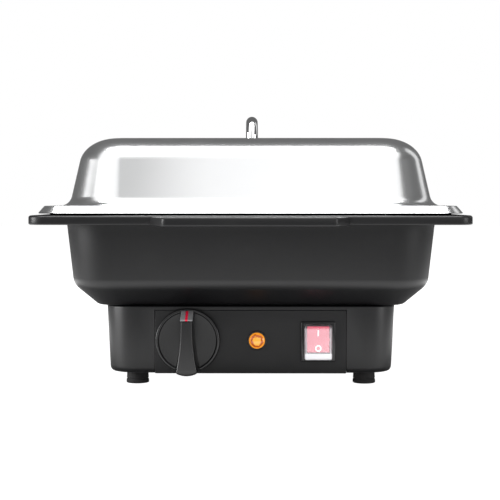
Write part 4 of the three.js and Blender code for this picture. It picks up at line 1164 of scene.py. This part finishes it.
# ------------------------------------------------------------------------------ lid
@dataclass
class Lid:
    """The domed lid, its bent rod handle and what fastens it."""

    wall: float = 0.8
    rim_edge_radius: float = 0.9
    skirt_reach: float = 5.0
    skirt_drop: float = 5.6
    rim_corner: float = 16.0
    dome_inset: float = 13.7
    dome_corner: float = 48.0
    dome_lean: float = 8.5
    foot_radius: float = 10.0
    shoulder_reach: float = 31.0
    shoulder_drop: float = 23.0
    rod_radius: float = 5.5
    bend_radius: float = 14.0
    stud_radius: float = 3.0
    box: Box = field(default_factory=lambda: Box.of("lid_shell"))
    handle: Box = field(default_factory=lambda: Box.of("lid_handle"))

    def shell(self) -> bpy.types.Object:
        """The pressed shell: skirt, flat rim, dome and flat top, with its wall's thickness."""
        top = self.box.high.z
        rim_half = self.box.high.x - self.skirt_reach
        stretch = self.box.high.y - self.box.high.x
        rim_top = Box.of("food_pan").high.z + 0.3 + self.wall
        rim_centre = rim_half - self.rim_corner
        foot_half = rim_half - self.dome_inset
        dome_centre = foot_half - self.dome_corner
        shoulder_half, shoulder_z = foot_half - self.dome_lean, top - self.shoulder_drop
        outside = fillets([
            (self.box.high.x, rim_top - self.skirt_drop, 0.0, rim_centre),
            (rim_half, rim_top, self.rim_edge_radius, rim_centre),
            (foot_half, rim_top, self.foot_radius, dome_centre),
            (shoulder_half, shoulder_z, 0.0, dome_centre),
        ], steps=8)[:-1]
        shoulder = (shoulder_half - self.shoulder_reach, shoulder_z)
        outside += arc(shoulder, self.shoulder_reach, self.shoulder_drop, (10, 90), dome_centre, steps=22)
        return loft("lid", inside(outside, self.wall) + outside, stretch, steps=24)

    def rod_handle(self) -> bpy.types.Object:
        """The handle: legs, bends and bar, with a collar and a stud under each leg."""
        low, high = self.handle.low, self.handle.high
        leg = high.y - 9.0
        bar = high.z - self.rod_radius
        foot = self.box.high.z + 0.3
        bent = rod(
            "lid_handle_rod",
            [(0, -leg, foot), (0, -leg, bar), (0, leg, bar), (0, leg, foot)],
            self.rod_radius,
            self.bend_radius,
            POLISHED_STEEL,
            sides=40,
            bend_steps=16,
        )
        both_legs = {"Across": 0.0, "Along": 2 * leg * MM, "Material": POLISHED_STEEL.material()}
        collar_radius = 9.0
        collar_top, neck_top = foot + 1.5, foot + 3.2
        collar = turned("collar", rounded([
            (0, foot, 0),
            (collar_radius, foot, 0.3),
            (collar_radius, collar_top, 0.7),
            (self.rod_radius + 0.8, collar_top, 0.6),
            (self.rod_radius - 0.4, neck_top, 0),
            (0, neck_top, 0),
        ]), 48)
        collar = grow(collar, Trees.corners(), both_legs)
        stud = turned("stud", [
            (0, low.z),
            (self.stud_radius - 0.6, low.z),
            (self.stud_radius, low.z + 0.6),
            (self.stud_radius, foot + 0.5),
            (0, foot + 0.5),
        ], 24)
        stud = grow(stud, Trees.corners(), both_legs)
        return merge("lid_rod_handle", [bent, collar, stud])

    def build(self) -> None:
        """Makes the lid's pieces."""
        keep(self.shell(), SATIN_STEEL, Body.LID, "lid_shell")
        keep(self.rod_handle(), POLISHED_STEEL, Body.LID, "lid_handle")
        fixings = [f"handle_{piece}_{end}" for piece in ("washer", "nut") for end in ("front", "rear")]
        dress(ZINC_STEEL, *fixings)


# ------------------------------------------------------------------------------ food pan
@dataclass
class FoodPan:
    """The drawn steel pan, with a flat flange whose edge is turned down."""

    wall: float = 0.8
    flange: float = 11.5
    edge: float = 4.9
    body_corner: float = 41.0
    flange_corner: float = 20.0
    draft: float = 7.0
    fillet: float = 15.0
    box: Box = field(default_factory=lambda: Box.of("food_pan"))

    def build(self) -> None:
        """Makes the pan."""
        half = self.box.high.x
        body = half - self.flange
        centre = body - self.body_corner
        stretch = self.box.high.y - half
        bottom, top = self.box.low.z, self.box.high.z
        flange_z = top - self.wall
        middle = (body - self.draft - self.fillet, bottom + self.fillet)
        underside = [Stop(middle[0] - 2.0, bottom, centre)]
        underside += arc(middle, self.fillet, self.fillet, (-90, -6), centre)
        edge_centre = half - self.flange_corner
        underside += fillets([
            (body - 1.0, flange_z - 12.0, 0.0, centre),
            (body, flange_z, 2.0, centre),
            (half - self.wall, flange_z, 0.6, edge_centre),
            (half - self.wall, top - self.edge, 0.0, edge_centre),
        ])
        topside = inside(underside, self.wall)
        shell = loft("pan", underside + topside, stretch, steps=20)
        keep(shell, PAN_STEEL, Body.PAN, "food_pan")


# ------------------------------------------------------------------------------ water basin
@dataclass
class WaterBasin:
    """The moulded basin: bowl, rim, pan ledge and two grips."""

    wall: float = 3.0
    draft: float = 6.1
    slant_reach: float = 20.6
    slant_rise: float = 17.2
    bottom_radius: float = 6.0
    wall_radius: float = 14.0
    rim_height: float = 7.5
    rim_corner: float = 14.0
    rim_radius: float = 2.0
    rim_reach: float = 22.5
    ledge_rise: float = 1.2
    ledge_corner: float = 21.0
    ledge_margin: float = 1.0
    body_corner: float = 45.0
    grip_root: float = 80.0
    grip_tip: float = 67.5
    grip_drop: float = 1.0
    heater_opening: float = 70.0
    boss_radius: float = 5.0
    boss_height: float = 7.0
    box: Box = field(default_factory=lambda: Box.of("water_basin"))

    def shell(self, stretch: float) -> bpy.types.Object:
        """The bowl with its rim and ledge."""
        bottom, ledge = self.box.low.z, self.box.high.z
        rim_top = ledge - self.ledge_rise
        rim_half = self.box.high.x
        outer = rim_half - self.rim_reach
        inner = outer - self.wall
        centre = outer - self.body_corner
        rim_centre = rim_half - self.rim_corner
        lip_bottom = rim_top - self.rim_height
        ledge_half = Box.of("food_pan").high.x + self.ledge_margin
        foot = outer - self.draft
        flat = foot - self.slant_reach
        outside = fillets([
            (flat - 12.0, bottom, 0.0, centre),
            (flat, bottom, self.bottom_radius, centre),
            (foot, bottom + self.slant_rise, self.wall_radius, centre),
            (outer, rim_top - self.wall, 0.0, centre),
        ], steps=10)[:-1]
        stops = outside + fillets([
            (outer - 1.2, rim_top - 14.0, 0.0, centre),
            (outer, rim_top - self.wall, 1.6, centre),
            (rim_half - self.wall, rim_top - self.wall, 1.0, rim_centre),
            (rim_half - self.wall, lip_bottom, 0.5, rim_centre),
            (rim_half, lip_bottom, 1.2, rim_centre),
            (rim_half, rim_top, self.rim_radius, rim_centre),
            (ledge_half + 0.7, rim_top, 0.3, ledge_half - self.ledge_corner),
            (ledge_half, ledge, 0.5, ledge_half - self.ledge_corner),
            (inner, ledge, 0.8, centre),
            (inner - 1.2, ledge - 14.0, 0.0, centre),
        ], steps=4)
        return loft("basin", stops + inside(outside, self.wall), stretch, steps=20)

    def _grip_line(self, inset: float, sign: int) -> list[Point]:
        """A grip's outline seen from above, counter-clockwise."""
        root = self.grip_root - inset
        tip = self.grip_tip - inset
        near = self.box.high.x + (self.box.high.y - self.box.high.x) - 22.0 - 2.0
        far = self.box.high.y - inset
        radius = max(5.0 - inset, 1.0)
        line = rounded([(-root, -near, 0), (-tip, -far, radius), (tip, -far, radius), (root, -near, 0)], 5)
        return [(sign * x, sign * y) for x, y in line]

    def grip(self, sign: int) -> bpy.types.Object:
        """One grip, open below.

        Args:
            sign: 1 for the front, -1 for the rear.

        Returns:
            The grip's shell.
        """
        top = self.box.high.z - self.ledge_rise - self.grip_drop
        tongue = prism("grip", self._grip_line(0.0, sign), top - self.rim_height, top)
        bevel(tongue, 1.6, 4)
        inner = self._grip_line(2 * self.wall, sign)
        pocket = prism("pocket", inner, top - 2 * self.rim_height, top - self.wall)
        return carve(tongue, [pocket])

    def build(self) -> None:
        """Makes the basin."""
        rim_half = self.box.high.x
        stretch = self.box.high.y - 22.0 - rim_half
        body = self.shell(stretch)
        floor = self.box.low.z + self.wall
        screw = Box.of("basin_screw_rear_right").centre
        boss = turned("boss", rounded([
            (0, floor - 1.5, 0),
            (self.boss_radius, floor - 1.5, 0),
            (self.boss_radius, floor + self.boss_height, 0.8),
            (0, floor + self.boss_height, 0),
        ]), 32)
        bosses = grow(boss, Trees.corners(), {
            "Across": 2 * screw.x * MM,
            "Along": 2 * screw.y * MM,
            "Material": BLACK_MOULDING.material(),
        })
        carve(body, [self.grip(1), self.grip(-1), bosses], "UNION")
        opening = turned("opening", [
            (0, self.box.low.z - 1),
            (self.heater_opening, self.box.low.z - 1),
            (self.heater_opening, floor + 1),
            (0, floor + 1),
        ], 96)
        carve(body, [opening])
        keep(body, BLACK_MOULDING, Body.BASE, "water_basin")


# ------------------------------------------------------------------------------ base
@dataclass
class BaseHousing:
    """The housing under the basin, its plate, feet and screws."""

    wall: float = 3.0
    corner: float = 27.0
    draft: float = 2.4
    top_radius: float = 1.4
    bottom_rise: float = 4.6
    deck_half: float = 85.0
    deck_corner: float = 20.0
    panel_gap: float = 0.4
    box: Box = field(default_factory=lambda: Box.of("base_housing"))

    def shell(self) -> bpy.types.Object:
        """The moulded walls and deck, with the panel's opening and the gland's hole."""
        half = self.box.high.x
        stretch = self.box.high.y - half
        bottom, top = self.box.low.z, self.box.high.z
        centre = half - self.corner
        deck_centre = self.deck_half - self.deck_corner
        lower = half - self.draft
        deck_bottom = top - self.wall
        edge = self.wall - 0.1
        stops = [Stop(lower - self.wall, bottom, centre)]
        foot = (lower - edge, bottom + self.bottom_rise)
        stops += arc(foot, edge, self.bottom_rise, (-90, 0), centre, steps=8)
        stops += fillets([
            (lower, bottom + self.bottom_rise, 0.0, centre),
            (half, top, self.top_radius, centre),
            (self.deck_half, top, 0.8, deck_centre),
            (self.deck_half, deck_bottom, 0.8, deck_centre),
            (half - self.wall, deck_bottom, 1.0, centre),
            (lower - self.wall, bottom, 0.0, centre),
        ], steps=5)[1:-1]
        body = loft("housing", stops, stretch, joined=True, steps=18)
        panel = Box.of("control_panel")
        panel_half = 79.6
        front = self.box.low.y
        opening = block(
            "panel_opening",
            (-panel_half, front - 2, bottom - 2),
            (panel_half, front + 2 * self.wall, panel.high.z + self.panel_gap),
        )
        gland = Box.of("gland_nut")
        hole = turned("gland_hole", [(0, -12), (8.3, -12), (8.3, 12), (0, 12)], 40)
        hole.data.transform(
            Matrix.Translation(Vector((gland.centre.x, self.box.high.y, gland.centre.z)) * MM)
            @ Matrix.Rotation(math.pi / 2, 4, "X")
        )
        carve(body, [opening, hole])
        return body

    def foot(self) -> bpy.types.Object:
        """The four feet: slightly wider at the table, ribbed and hollow for their screws."""
        one = Box.of("foot_rear_right")
        radius = one.size.x / 2
        top = one.high.z
        screw_hole, head_hole, head_depth = 2.2, 4.1, 4.5
        profile = rounded([
            (head_hole, 0.0, 0),
            (radius, 0.0, 0.9),
            (radius - 0.25, 3.2, 0),
            (radius - 0.75, 3.5, 0),
            (radius - 0.8, 4.1, 0),
            (radius - 0.35, 4.4, 0),
            (radius - 0.9, top, 0.4),
            (screw_hole, top, 0),
            (screw_hole, head_depth, 0),
            (head_hole, head_depth, 0),
        ])
        return grow(turned("feet", profile, 48), Trees.corners(), {
            "Across": 2 * one.centre.x * MM,
            "Along": 2 * one.centre.y * MM,
            "Material": FOOT_RUBBER.material(),
        })

    def build(self) -> None:
        """Makes the base's pieces."""
        keep(self.shell(), BLACK_MOULDING, Body.BASE, "base_housing")
        corners = ("front_left", "front_right", "rear_left", "rear_right")
        keep(self.foot(), FOOT_RUBBER, Body.BASE, *(f"foot_{place}" for place in corners))
        dress(ZINC_STEEL, "base_plate")
        dress(ZINC_STEEL, *(f"foot_screw_{place}" for place in corners))
        dress(ZINC_STEEL, *(f"basin_screw_{place}" for place in corners))


# ------------------------------------------------------------------------------ controls
@dataclass
class Controls:
    """The panel with its knob, pilot lamp and rocker switch."""

    panel: Box = field(default_factory=lambda: Box.of("control_panel"))
    knob: Box = field(default_factory=lambda: Box.of("knob"))
    lens: Box = field(default_factory=lambda: Box.of("lamp_lens"))
    bezel: Box = field(default_factory=lambda: Box.of("switch_body"))
    cover: Box = field(default_factory=lambda: Box.of("switch_cover"))

    @property
    def front(self) -> float:
        """The panel's front, along Y."""
        return self.panel.low.y

    @property
    def knob_place(self) -> Point:
        """The knob's axis, across and up."""
        shaft = Box.of("thermostat_shaft").centre
        return shaft.x, shaft.z

    def panel_plate(self) -> bpy.types.Object:
        """The panel's face and the lip behind it, with its holes."""
        half = 79.2
        low, high = self.panel.low, self.panel.high
        face = bevel(block("panel", (-half, low.y, low.z), (half, high.y - 2.0, high.z)), 0.5, 3)
        lip = block("lip", (low.x, high.y - 2.4, low.z + 4), (high.x, high.y, high.z))
        carve(face, [lip], "UNION")
        knob_x, knob_z = self.knob_place
        lamp = self.lens.centre
        shaft_hole, screw_hole, lamp_hole = 5.5, 2.2, 6.1
        screw_offset = 14
        tools = []
        for x, z, radius in (
            (knob_x, knob_z, shaft_hole),
            (knob_x - screw_offset, knob_z, screw_hole),
            (knob_x + screw_offset, knob_z, screw_hole),
            (lamp.x, lamp.z, lamp_hole),
        ):
            drill = turned("drill", [(0, -12), (radius, -12), (radius, 4), (0, 4)], 40)
            tools.append(up_front(drill, x, z, self.front))
        middle = self.bezel.centre
        reach = self.bezel.size / 2 - Vector((1.2, 0, 1.2))
        tools.append(block(
            "switch_hole",
            (middle.x - reach.x, low.y - 2, middle.z - reach.z),
            (middle.x + reach.x, high.y + 2, middle.z + reach.z),
        ))
        return carve(face, tools)

    def knob_dial(self) -> bpy.types.Object:
        """The knob: a dial with a raised ring and a flared bar across it."""
        radius = self.knob.size.x / 2
        standoff = self.panel.low.y - self.knob.high.y
        height = self.panel.low.y - self.knob.low.y
        face = standoff + 4.1
        dial = turned("dial", rounded([
            (0, face - 1.3, 0),
            (20.0, face - 1.3, 0.5),
            (20.0, standoff, 0.3),
            (radius, standoff, 0.4),
            (radius - 0.6, standoff + 5.2, 1.1),
            (radius - 2.6, standoff + 5.2, 0.8),
            (radius - 3.4, face, 0.5),
            (0, face, 0),
        ], 4), 128)
        top = radius - 1.8
        reach, flare = radius - 0.1, 10.8
        foot = -math.sqrt(reach**2 - flare**2)
        left = []
        side_steps = 16
        for step in range(side_steps + 1):
            share = step / side_steps
            y = top + (foot - top) * share
            half = (1 - share) ** 2 * 6.1 + 2 * share * (1 - share) * 4.4 + share**2 * flare
            left.append((-half, y))
        spread = math.asin(flare / reach)
        turns = [spread * (step / 6 - 1) for step in range(1, 12)]
        end = [(reach * math.sin(turn), -reach * math.cos(turn)) for turn in turns]
        right = [(-x, y) for x, y in reversed(left)]
        bar = prism("bar", left + end + right, face - 0.6, height)
        for vertex in bar.data.vertices:
            rise = (vertex.co.z / MM - face) / (height - face)
            vertex.co.x *= 1 - 0.2 * max(rise, 0.0)
        bevel(bar, 1.4, 5, 50)
        slope = self._slope("slope", 1.7, 30.0, 24.0, 24.0)
        carve(bar, [slope])
        bore = turned("bore", [(0, 0), (3.3, 0), (3.3, 13), (0, 13)], 32)
        knob = carve(carve(dial, [bar], "UNION"), [bore])
        knob.name = "thermostat_knob"
        return up_front(knob, *self.knob_place, self.front)

    def _slope(
        self,
        name: str,
        depth: float,
        thickness: float,
        half: float,
        overrun: float,
    ) -> bpy.types.Object:
        """A block on the sloping end of the knob's bar."""
        height = self.panel.low.y - self.knob.low.y
        start = Vector((19.2, height))
        end = Vector((25.2, 7.8))
        length = (end - start).length
        tilt = -math.atan2(start.y - end.y, end.x - start.x)
        slab = block(name, (-half, -overrun, -depth), (half, length + overrun, thickness - depth))
        slab.data.transform(
            Matrix.Translation(Vector((0, start.x, start.y)) * MM) @ Matrix.Rotation(tilt, 4, "X")
        )
        return slab

    def build_knob(self) -> None:
        """Makes the knob, its sloping end face and its shaft."""
        keep(self.knob_dial(), KNOB_PLASTIC, Body.KNOB, "knob", angle=math.radians(28))
        slab = bevel(self._slope("pointer_face", 1.4, 1.4, 5.0, 0.0), 0.3, 2)
        end = up_front(slab, *self.knob_place, self.front)
        finish = PointerFace(
            name="pointer_face", slot="grey_plastic", colour=(0.17, 0.17, 0.175),
            drift=(0.12, 0.12, 0.125),
            roughness=0.4, relief=0.1, centre=(self.knob_place[0] * MM, 0.0, 0.0),
        )
        keep(end, finish, Body.KNOB, "knob_insert")
        dress(ZINC_STEEL, "thermostat_shaft")

    def build_lamp(self) -> None:
        """Makes the pilot lamp: its ring, barrel and domed lens."""
        middle = self.lens.centre
        body = turned("lamp_ring", rounded([
            (0, -22, 0),
            (5.8, -22, 0.6),
            (5.8, 0.3, 0),
            (8.0, 0.3, 0.2),
            (8.0, 1.6, 0.6),
            (7.2, 1.6, 0.2),
            (7.2, 0.95, 0),
            (0, 0.95, 0),
        ]), 64)
        keep(up_front(body, middle.x, middle.z, self.front), GLOSS_BLACK, Body.BASE, "lamp_body")
        radius, brim, dome, steps = 6.6, 1.9, 3.4, 12
        profile = [(0.0, 1.25), (radius, 1.25), (radius, brim)]
        for step in range(1, steps):
            angle = math.radians(90 * step / steps)
            profile.append((radius * math.cos(angle), brim + dome * math.sin(angle)))
        profile.append((0.0, brim + dome))
        finish = LitLens(
            name="lit_amber_lens", slot="amber_lens", colour=(0.20, 0.04, 0.0),
            drift=(0.26, 0.06, 0.0),
            roughness=0.12, texture=Texture.SMOOTH, coat=0.1, centre=tuple(middle * MM),
        )
        lens = up_front(turned("pilot_lens", profile, 64), middle.x, middle.z, self.front)
        keep(lens, finish, Body.BASE, "lamp_lens")
        dress(GLOSS_BLACK, "lamp_nut")

    def build_switch(self) -> None:
        """Makes the rocker switch: frame, paddle and splash cover."""
        middle = self.bezel.centre
        wide, tall = self.bezel.size.x / 2, self.bezel.size.z / 2
        outer = oblong(wide, tall)
        frame_piece = bevel(prism("switch_frame", outer, 0.3, 3.0), 0.9, 3)
        rear = prism("rear", [(x * 0.9, y * 0.91) for x, y in outer], -24, 1.0)
        carve(frame_piece, [rear], "UNION")
        recess = prism("recess", oblong(11.5, 14.8), -0.1, 6)
        well = prism("well", [(-10.0, -10.2), (10.0, -10.2), (10.0, 12.8), (-10.0, 12.8)], -9, 1)
        carve(frame_piece, [recess, well])
        keep(up_front(frame_piece, middle.x, middle.z, self.front), GLOSS_BLACK, Body.BASE, "switch_body")
        self._paddle(middle)
        self._splash_cover(middle)

    def _paddle(self, middle: Vector) -> None:
        """The rocker, tipped with its top pressed in."""
        rocker = Box.of("switch_rocker")
        half_width, half_length = 9.2, 10.7
        lip, hollow, steps = 5.0, 1.4, 12
        back_half = [(half_length, lip), (half_length, 1.5), (8.9, -2.4), (4.0, -4.5)]
        profile = [(-y, z) for y, z in back_half] + back_half[::-1]
        for step in range(1, steps):
            y = half_length - 2 * half_length * step / steps
            profile.append((y, 3.6 + hollow * (y / half_length) ** 2))
        axis_depth = 2.0
        form = bmesh.new()
        rings = [
            [form.verts.new((x, y, z + axis_depth)) for y, z in profile]
            for x in (-half_width, half_width)
        ]
        count = len(profile)
        form.faces.new(rings[1])
        form.faces.new(reversed(rings[0]))
        for index in range(count):
            after = (index + 1) % count
            form.faces.new((rings[0][index], rings[0][after], rings[1][after], rings[1][index]))
        paddle = from_bmesh("rocker", form)
        bevel(paddle, 0.5, 3, 35)
        tilt = math.radians(-8)
        paddle.data.transform(Matrix.Rotation(tilt, 4, "X"))
        pin_radius, pin_reach = 1.5, 10.4
        pin = turned("pin", [
            (0, -pin_reach),
            (pin_radius, -pin_reach),
            (pin_radius, pin_reach),
            (0, pin_reach),
        ], 24)
        pin.data.transform(Matrix.Rotation(math.pi / 2, 4, "Y"))
        carve(paddle, [pin], "UNION")
        paddle.data.transform(Matrix.Translation((0, 0, -axis_depth * MM)))
        pivot_rise = 1.3
        up_front(paddle, middle.x, middle.z + pivot_rise, self.front)
        top = rocker.high.z
        finish = MarkedPaddle(
            name="lit_rocker", slot="pink_rocker", colour=(0.60, 0.13, 0.18),
            drift=(0.55, 0.10, 0.15),
            roughness=0.3, relief=0.1, coat=0.3, centre=(middle.x * MM, 0.0, 0.0),
            # The last height is where the painted shade along the paddle's top edge begins.
            bar_height=(top - 5.6) * MM, ring_height=(top - 18.0) * MM, painted_shade_height=(top - 2.2) * MM,
        )
        keep(paddle, finish, Body.ROCKER, "switch_rocker")

    def _splash_cover(self, middle: Vector) -> None:
        """The clear cover over the rocker, open at its back."""
        wide, tall = self.cover.size.x / 2, self.cover.size.z / 2
        back = self.panel.low.y - self.cover.high.y
        out = self.panel.low.y - self.cover.low.y
        skin = prism("cover", oblong(wide, tall), back, out)
        bevel(skin, 1.6, 5)
        wall = 1.1
        hollow = prism("hollow", oblong(wide - wall, tall - wall), back - 3, out - wall)
        bevel(hollow, 0.8, 3)
        carve(skin, [hollow])
        skin.name = "splash_cover"
        finish = ClearSkin(
            name="clear_soft_cover", slot="clear_silicone", colour=(0.86, 0.86, 0.88),
            drift=(0.80, 0.80, 0.83),
            roughness=0.12, texture=Texture.SMOOTH, front=self.cover.low.y * MM,
            lip_top=Box.of("switch_rocker").low.z * MM, clear_above=(self.cover.high.z - 1.5) * MM,
        )
        keep(up_front(skin, middle.x, middle.z, self.front), finish, Body.BASE, "switch_cover")

    def build(self) -> None:
        """Makes the panel and everything on it."""
        keep(self.panel_plate(), PANEL_MOULDING, Body.BASE, "control_panel")
        self.build_knob()
        self.build_lamp()
        self.build_switch()
        dress(CREAM_PLASTIC, "thermostat_body")
        dress(ZINC_STEEL, "thermostat_screw_left", "thermostat_screw_right")


# ------------------------------------------------------------------------------ heater and power
@dataclass
class Heater:
    """What heats the basin, and the wiring to it."""

    plate: Box = field(default_factory=lambda: Box.of("heater_plate"))

    def build(self) -> None:
        """Makes the plate and dresses the pieces behind it."""
        radius = self.plate.size.x / 2
        top = self.plate.high.z
        disc = turned("heater_disc", rounded([
            (0, top - 1.5, 0),
            (radius, top - 1.5, 0.5),
            (radius, top - 0.3, 0.5),
            (radius - 9.0, top - 0.3, 2.0),
            (radius - 12.0, top, 2.0),
            (radius - 34.0, top, 1.0),
            (radius - 36.0, top - 0.5, 1.0),
            (radius - 38.0, top, 1.0),
            (0, top, 0),
        ], 4), 128)
        stud = turned("stud", [
            (0, self.plate.low.z),
            (1.5, self.plate.low.z),
            (2.0, self.plate.low.z + 0.5),
            (2.0, top - 1.0),
            (0, top - 1.0),
        ], 20)
        studs = grow(stud, Trees.round_about(), {
            "Count": 3,
            "Radius": 76.0 * MM,
            "Material": HEATER_STEEL.material(),
        })
        studs.data.transform(Matrix.Rotation(-math.pi / 2, 4, "Z"))
        keep(merge("heater_disc_and_studs", [disc, studs]), HEATER_STEEL, Body.BASE, "heater_plate")
        dress(RED_SILICONE, "heater_gasket")
        dress(ZINC_STEEL, "heating_element", "heater_nut_1", "heater_nut_2", "heater_nut_3")
        dress(SHEET_ALUMINIUM, "heat_shield")
        dress(MINERAL_WOOL, "insulation_disc")
        dress(CREAM_PLASTIC, "thermal_cutout", "terminal_block")
        dress(COPPER, "thermostat_capillary")
        dress(
            LEAD_SLEEVE,
            "lead_terminal_to_switch",
            "lead_switch_to_lamp",
            "lead_terminal_to_element",
            "lead_thermostat_to_element",
        )


@dataclass
class PowerEntry:
    """The cable gland at the rear and its nut."""

    gland: Box = field(default_factory=lambda: Box.of("cable_gland"))

    def build(self) -> None:
        """Makes the gland: a ribbed dome nut on a six-sided body with a threaded barrel."""
        face = Box.of("base_housing").high.y + 0.3
        across = 12
        turns = [math.radians(60 * side) for side in range(6)]
        six = [(across * math.cos(turn), across * math.sin(turn)) for turn in turns]
        collar = bevel(prism("collar", six, 0, 6), 0.7, 3)
        dome_radius = 9.2
        dome = turned("dome", rounded([
            (0, 5, 0),
            (dome_radius, 5, 0),
            (dome_radius, 12.6, 2.0),
            (7.0, 16.0, 1.0),
            (0, 16.0, 0),
        ]), 64)
        rib = bevel(block("rib", (-0.5, -0.7, 6.6), (0.45, 0.7, 12.2)), 0.25, 2)
        rib = grow(rib, Trees.round_about(), {
            "Count": 18,
            "Radius": dome_radius * MM,
            "Material": BLACK_MOULDING.material(),
        })
        thread = [(0.0, -14.0), (7.2, -14.0)]
        pitch, root, crest = 1.4, 7.3, 7.95
        for turn in range(9):
            low = -13.4 + pitch * turn
            thread += [(crest, low + 0.5), (crest, low + 0.7), (root, low + 1.2), (root, low + pitch)]
        thread += [(root, 1.0), (0.0, 1.0)]
        carve(collar, [dome, turned("barrel", thread, 48)], "UNION")
        bore_radius = 4.6
        bore = turned("bore", [(0, -16), (bore_radius, -16), (bore_radius, 18), (0, 18)], 40)
        carve(collar, [bore])
        entry = merge("ribbed_gland", [collar, rib])
        middle = self.gland.centre
        place = Matrix.Translation(Vector((middle.x, face, middle.z)) * MM)
        entry.data.transform(place @ Matrix.Rotation(-math.pi / 2, 4, "X"))
        keep(entry, BLACK_MOULDING, Body.BASE, "cable_gland")
        dress(BLACK_MOULDING, "gland_nut")


# ------------------------------------------------------------------------------ studio
@dataclass
class Studio:
    """Camera, floor and lights."""

    camera_distance: float = 986.0
    camera_height: float = 154.9
    camera_x: float = 8.0
    pitch_down: float = 2.29
    yaw_left: float = 0.469
    lens: float = 90.0
    floor_half: float = 6.0
    floor_seen: float = 1.0
    floor_glow: float = 0.05
    pool_glow: float = 2.0
    pool_start: tuple[float, float] = (0.27, 0.34)
    pool_reach: tuple[float, float] = (0.42, 0.60)
    room_level: float = 0.16
    light_distance: float = 2.1
    basin: Box = field(default_factory=lambda: Box.of("water_basin"))

    def camera(self) -> None:
        """Places the camera in front of the controls, a little above the rim."""
        data = bpy.data.cameras.new("camera")
        data.lens = self.lens
        data.sensor_width = 36.0
        data.clip_end = 50.0
        eye = new_object("camera", data)
        front = self.basin.low.y + 22.0 - self.camera_distance
        eye.location = Vector((self.camera_x, front, self.camera_height)) * MM
        eye.rotation_euler = (math.radians(90 - self.pitch_down), 0.0, math.radians(self.yaw_left))
        bpy.context.scene.camera = eye

    def floor(self) -> None:
        """A pale floor that shades off to nothing."""
        form = bmesh.new()
        bmesh.ops.create_grid(form, x_segments=1, y_segments=1, size=self.floor_half / MM)
        ground = from_bmesh("floor", form)
        material = bpy.data.materials.new("pale_floor")
        material.use_nodes = True
        build = Nodes(material.node_tree)
        shader = material.node_tree.nodes["Principled BSDF"]
        shader.inputs["Base Color"].default_value = (0.25, 0.25, 0.25, 1.0)
        shader.inputs["Roughness"].default_value = 0.9
        shader.inputs["Emission Color"].default_value = (1.0, 1.0, 1.0, 1.0)
        place = build.add("ShaderNodeTexCoord").outputs["Object"]
        length = build.add("ShaderNodeVectorMath", {0: place}, operation="LENGTH").outputs["Value"]
        near = build.math("SUBTRACT", 1.0, build.ramp(length, *self.pool_reach))
        pool = build.math("MULTIPLY", build.ramp(length, *self.pool_start), near)
        thrown = build.math("MULTIPLY_ADD", pool, self.pool_glow, self.floor_glow)
        seen = build.add("ShaderNodeLightPath").outputs["Is Camera Ray"]
        glow = build.add("ShaderNodeMapRange", {"Value": seen, "To Min": thrown, "To Max": self.floor_seen})
        build.tree.links.new(glow.outputs[0], shader.inputs["Emission Strength"])
        ground.data.materials.append(material)

    def backdrop(self) -> None:
        """A white surround that throws back less light than it shows."""
        world = bpy.data.worlds.new("studio")
        world.use_nodes = True
        build = Nodes(world.node_tree)
        seen = build.add("ShaderNodeLightPath").outputs["Is Camera Ray"]
        level = build.math("MULTIPLY_ADD", seen, 1.0 - self.room_level, self.room_level)
        surround = world.node_tree.nodes["Background"]
        surround.inputs["Color"].default_value = (1.0, 1.0, 1.0, 1.0)
        build.tree.links.new(level, surround.inputs["Strength"])
        bpy.context.scene.world = world

    def softbox(
        self,
        name: str,
        azimuth: float,
        elevation: float,
        size: Point,
        level: float,
        shift: float = 0.0,
    ) -> None:
        """One rectangular soft light that faces the object.

        Args:
            name: The light's name.
            azimuth: Degrees to the right of the camera's side.
            elevation: Degrees above the floor.
            size: Its width and height, in metres.
            level: How bright its face is.
            shift: How far it's moved to the right, in metres.
        """
        data = bpy.data.lights.new(name, "AREA")
        data.shape = "RECTANGLE"
        data.size, data.size_y = size
        data.energy = level * math.pi * size[0] * size[1]
        lamp = new_object(name, data)
        aim = Vector((0.0, 0.0, 0.15))
        turn, climb = math.radians(azimuth), math.radians(elevation)
        flat = math.cos(climb)
        back = Vector((math.sin(turn) * flat, -math.cos(turn) * flat, math.sin(climb)))
        sideways = Vector((math.cos(turn), math.sin(turn), 0.0))
        lamp.location = aim + back * self.light_distance + sideways * shift
        lamp.rotation_euler = (-back).to_track_quat("-Z", "Y").to_euler()
        lamp.visible_camera = False

    def build(self) -> None:
        """Makes the whole studio."""
        self.camera()
        self.floor()
        self.backdrop()
        bpy.context.scene.view_settings.view_transform = "Standard"
        self.softbox("front_soft", 0.0, 42.0, (2.6, 3.3), 1.25, shift=1.02)
        self.softbox("left_soft", -29.0, 36.0, (1.9, 2.6), 1.25, shift=-0.47)
        self.softbox("overhead_strip", 0.0, 74.0, (2.4, 1.2), 8.0)
        self.softbox("left_low", -74.0, 6.0, (1.2, 0.8), 11.0)
        self.softbox("right_low", 64.0, 4.0, (0.7, 0.5), 8.0)
        self.softbox("right_rear", 118.0, 25.0, (0.6, 1.4), 0.9)


def main() -> None:
    """Builds the studio and every piece."""
    logging.basicConfig(level=logging.INFO, format="%(name)s %(message)s")
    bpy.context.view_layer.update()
    Studio().build()
    for sub_assembly in (WaterBasin(), FoodPan(), Lid(), BaseHousing(), Controls(), Heater(), PowerEntry()):
        sub_assembly.build()


if __name__ == "__main__":
    main()
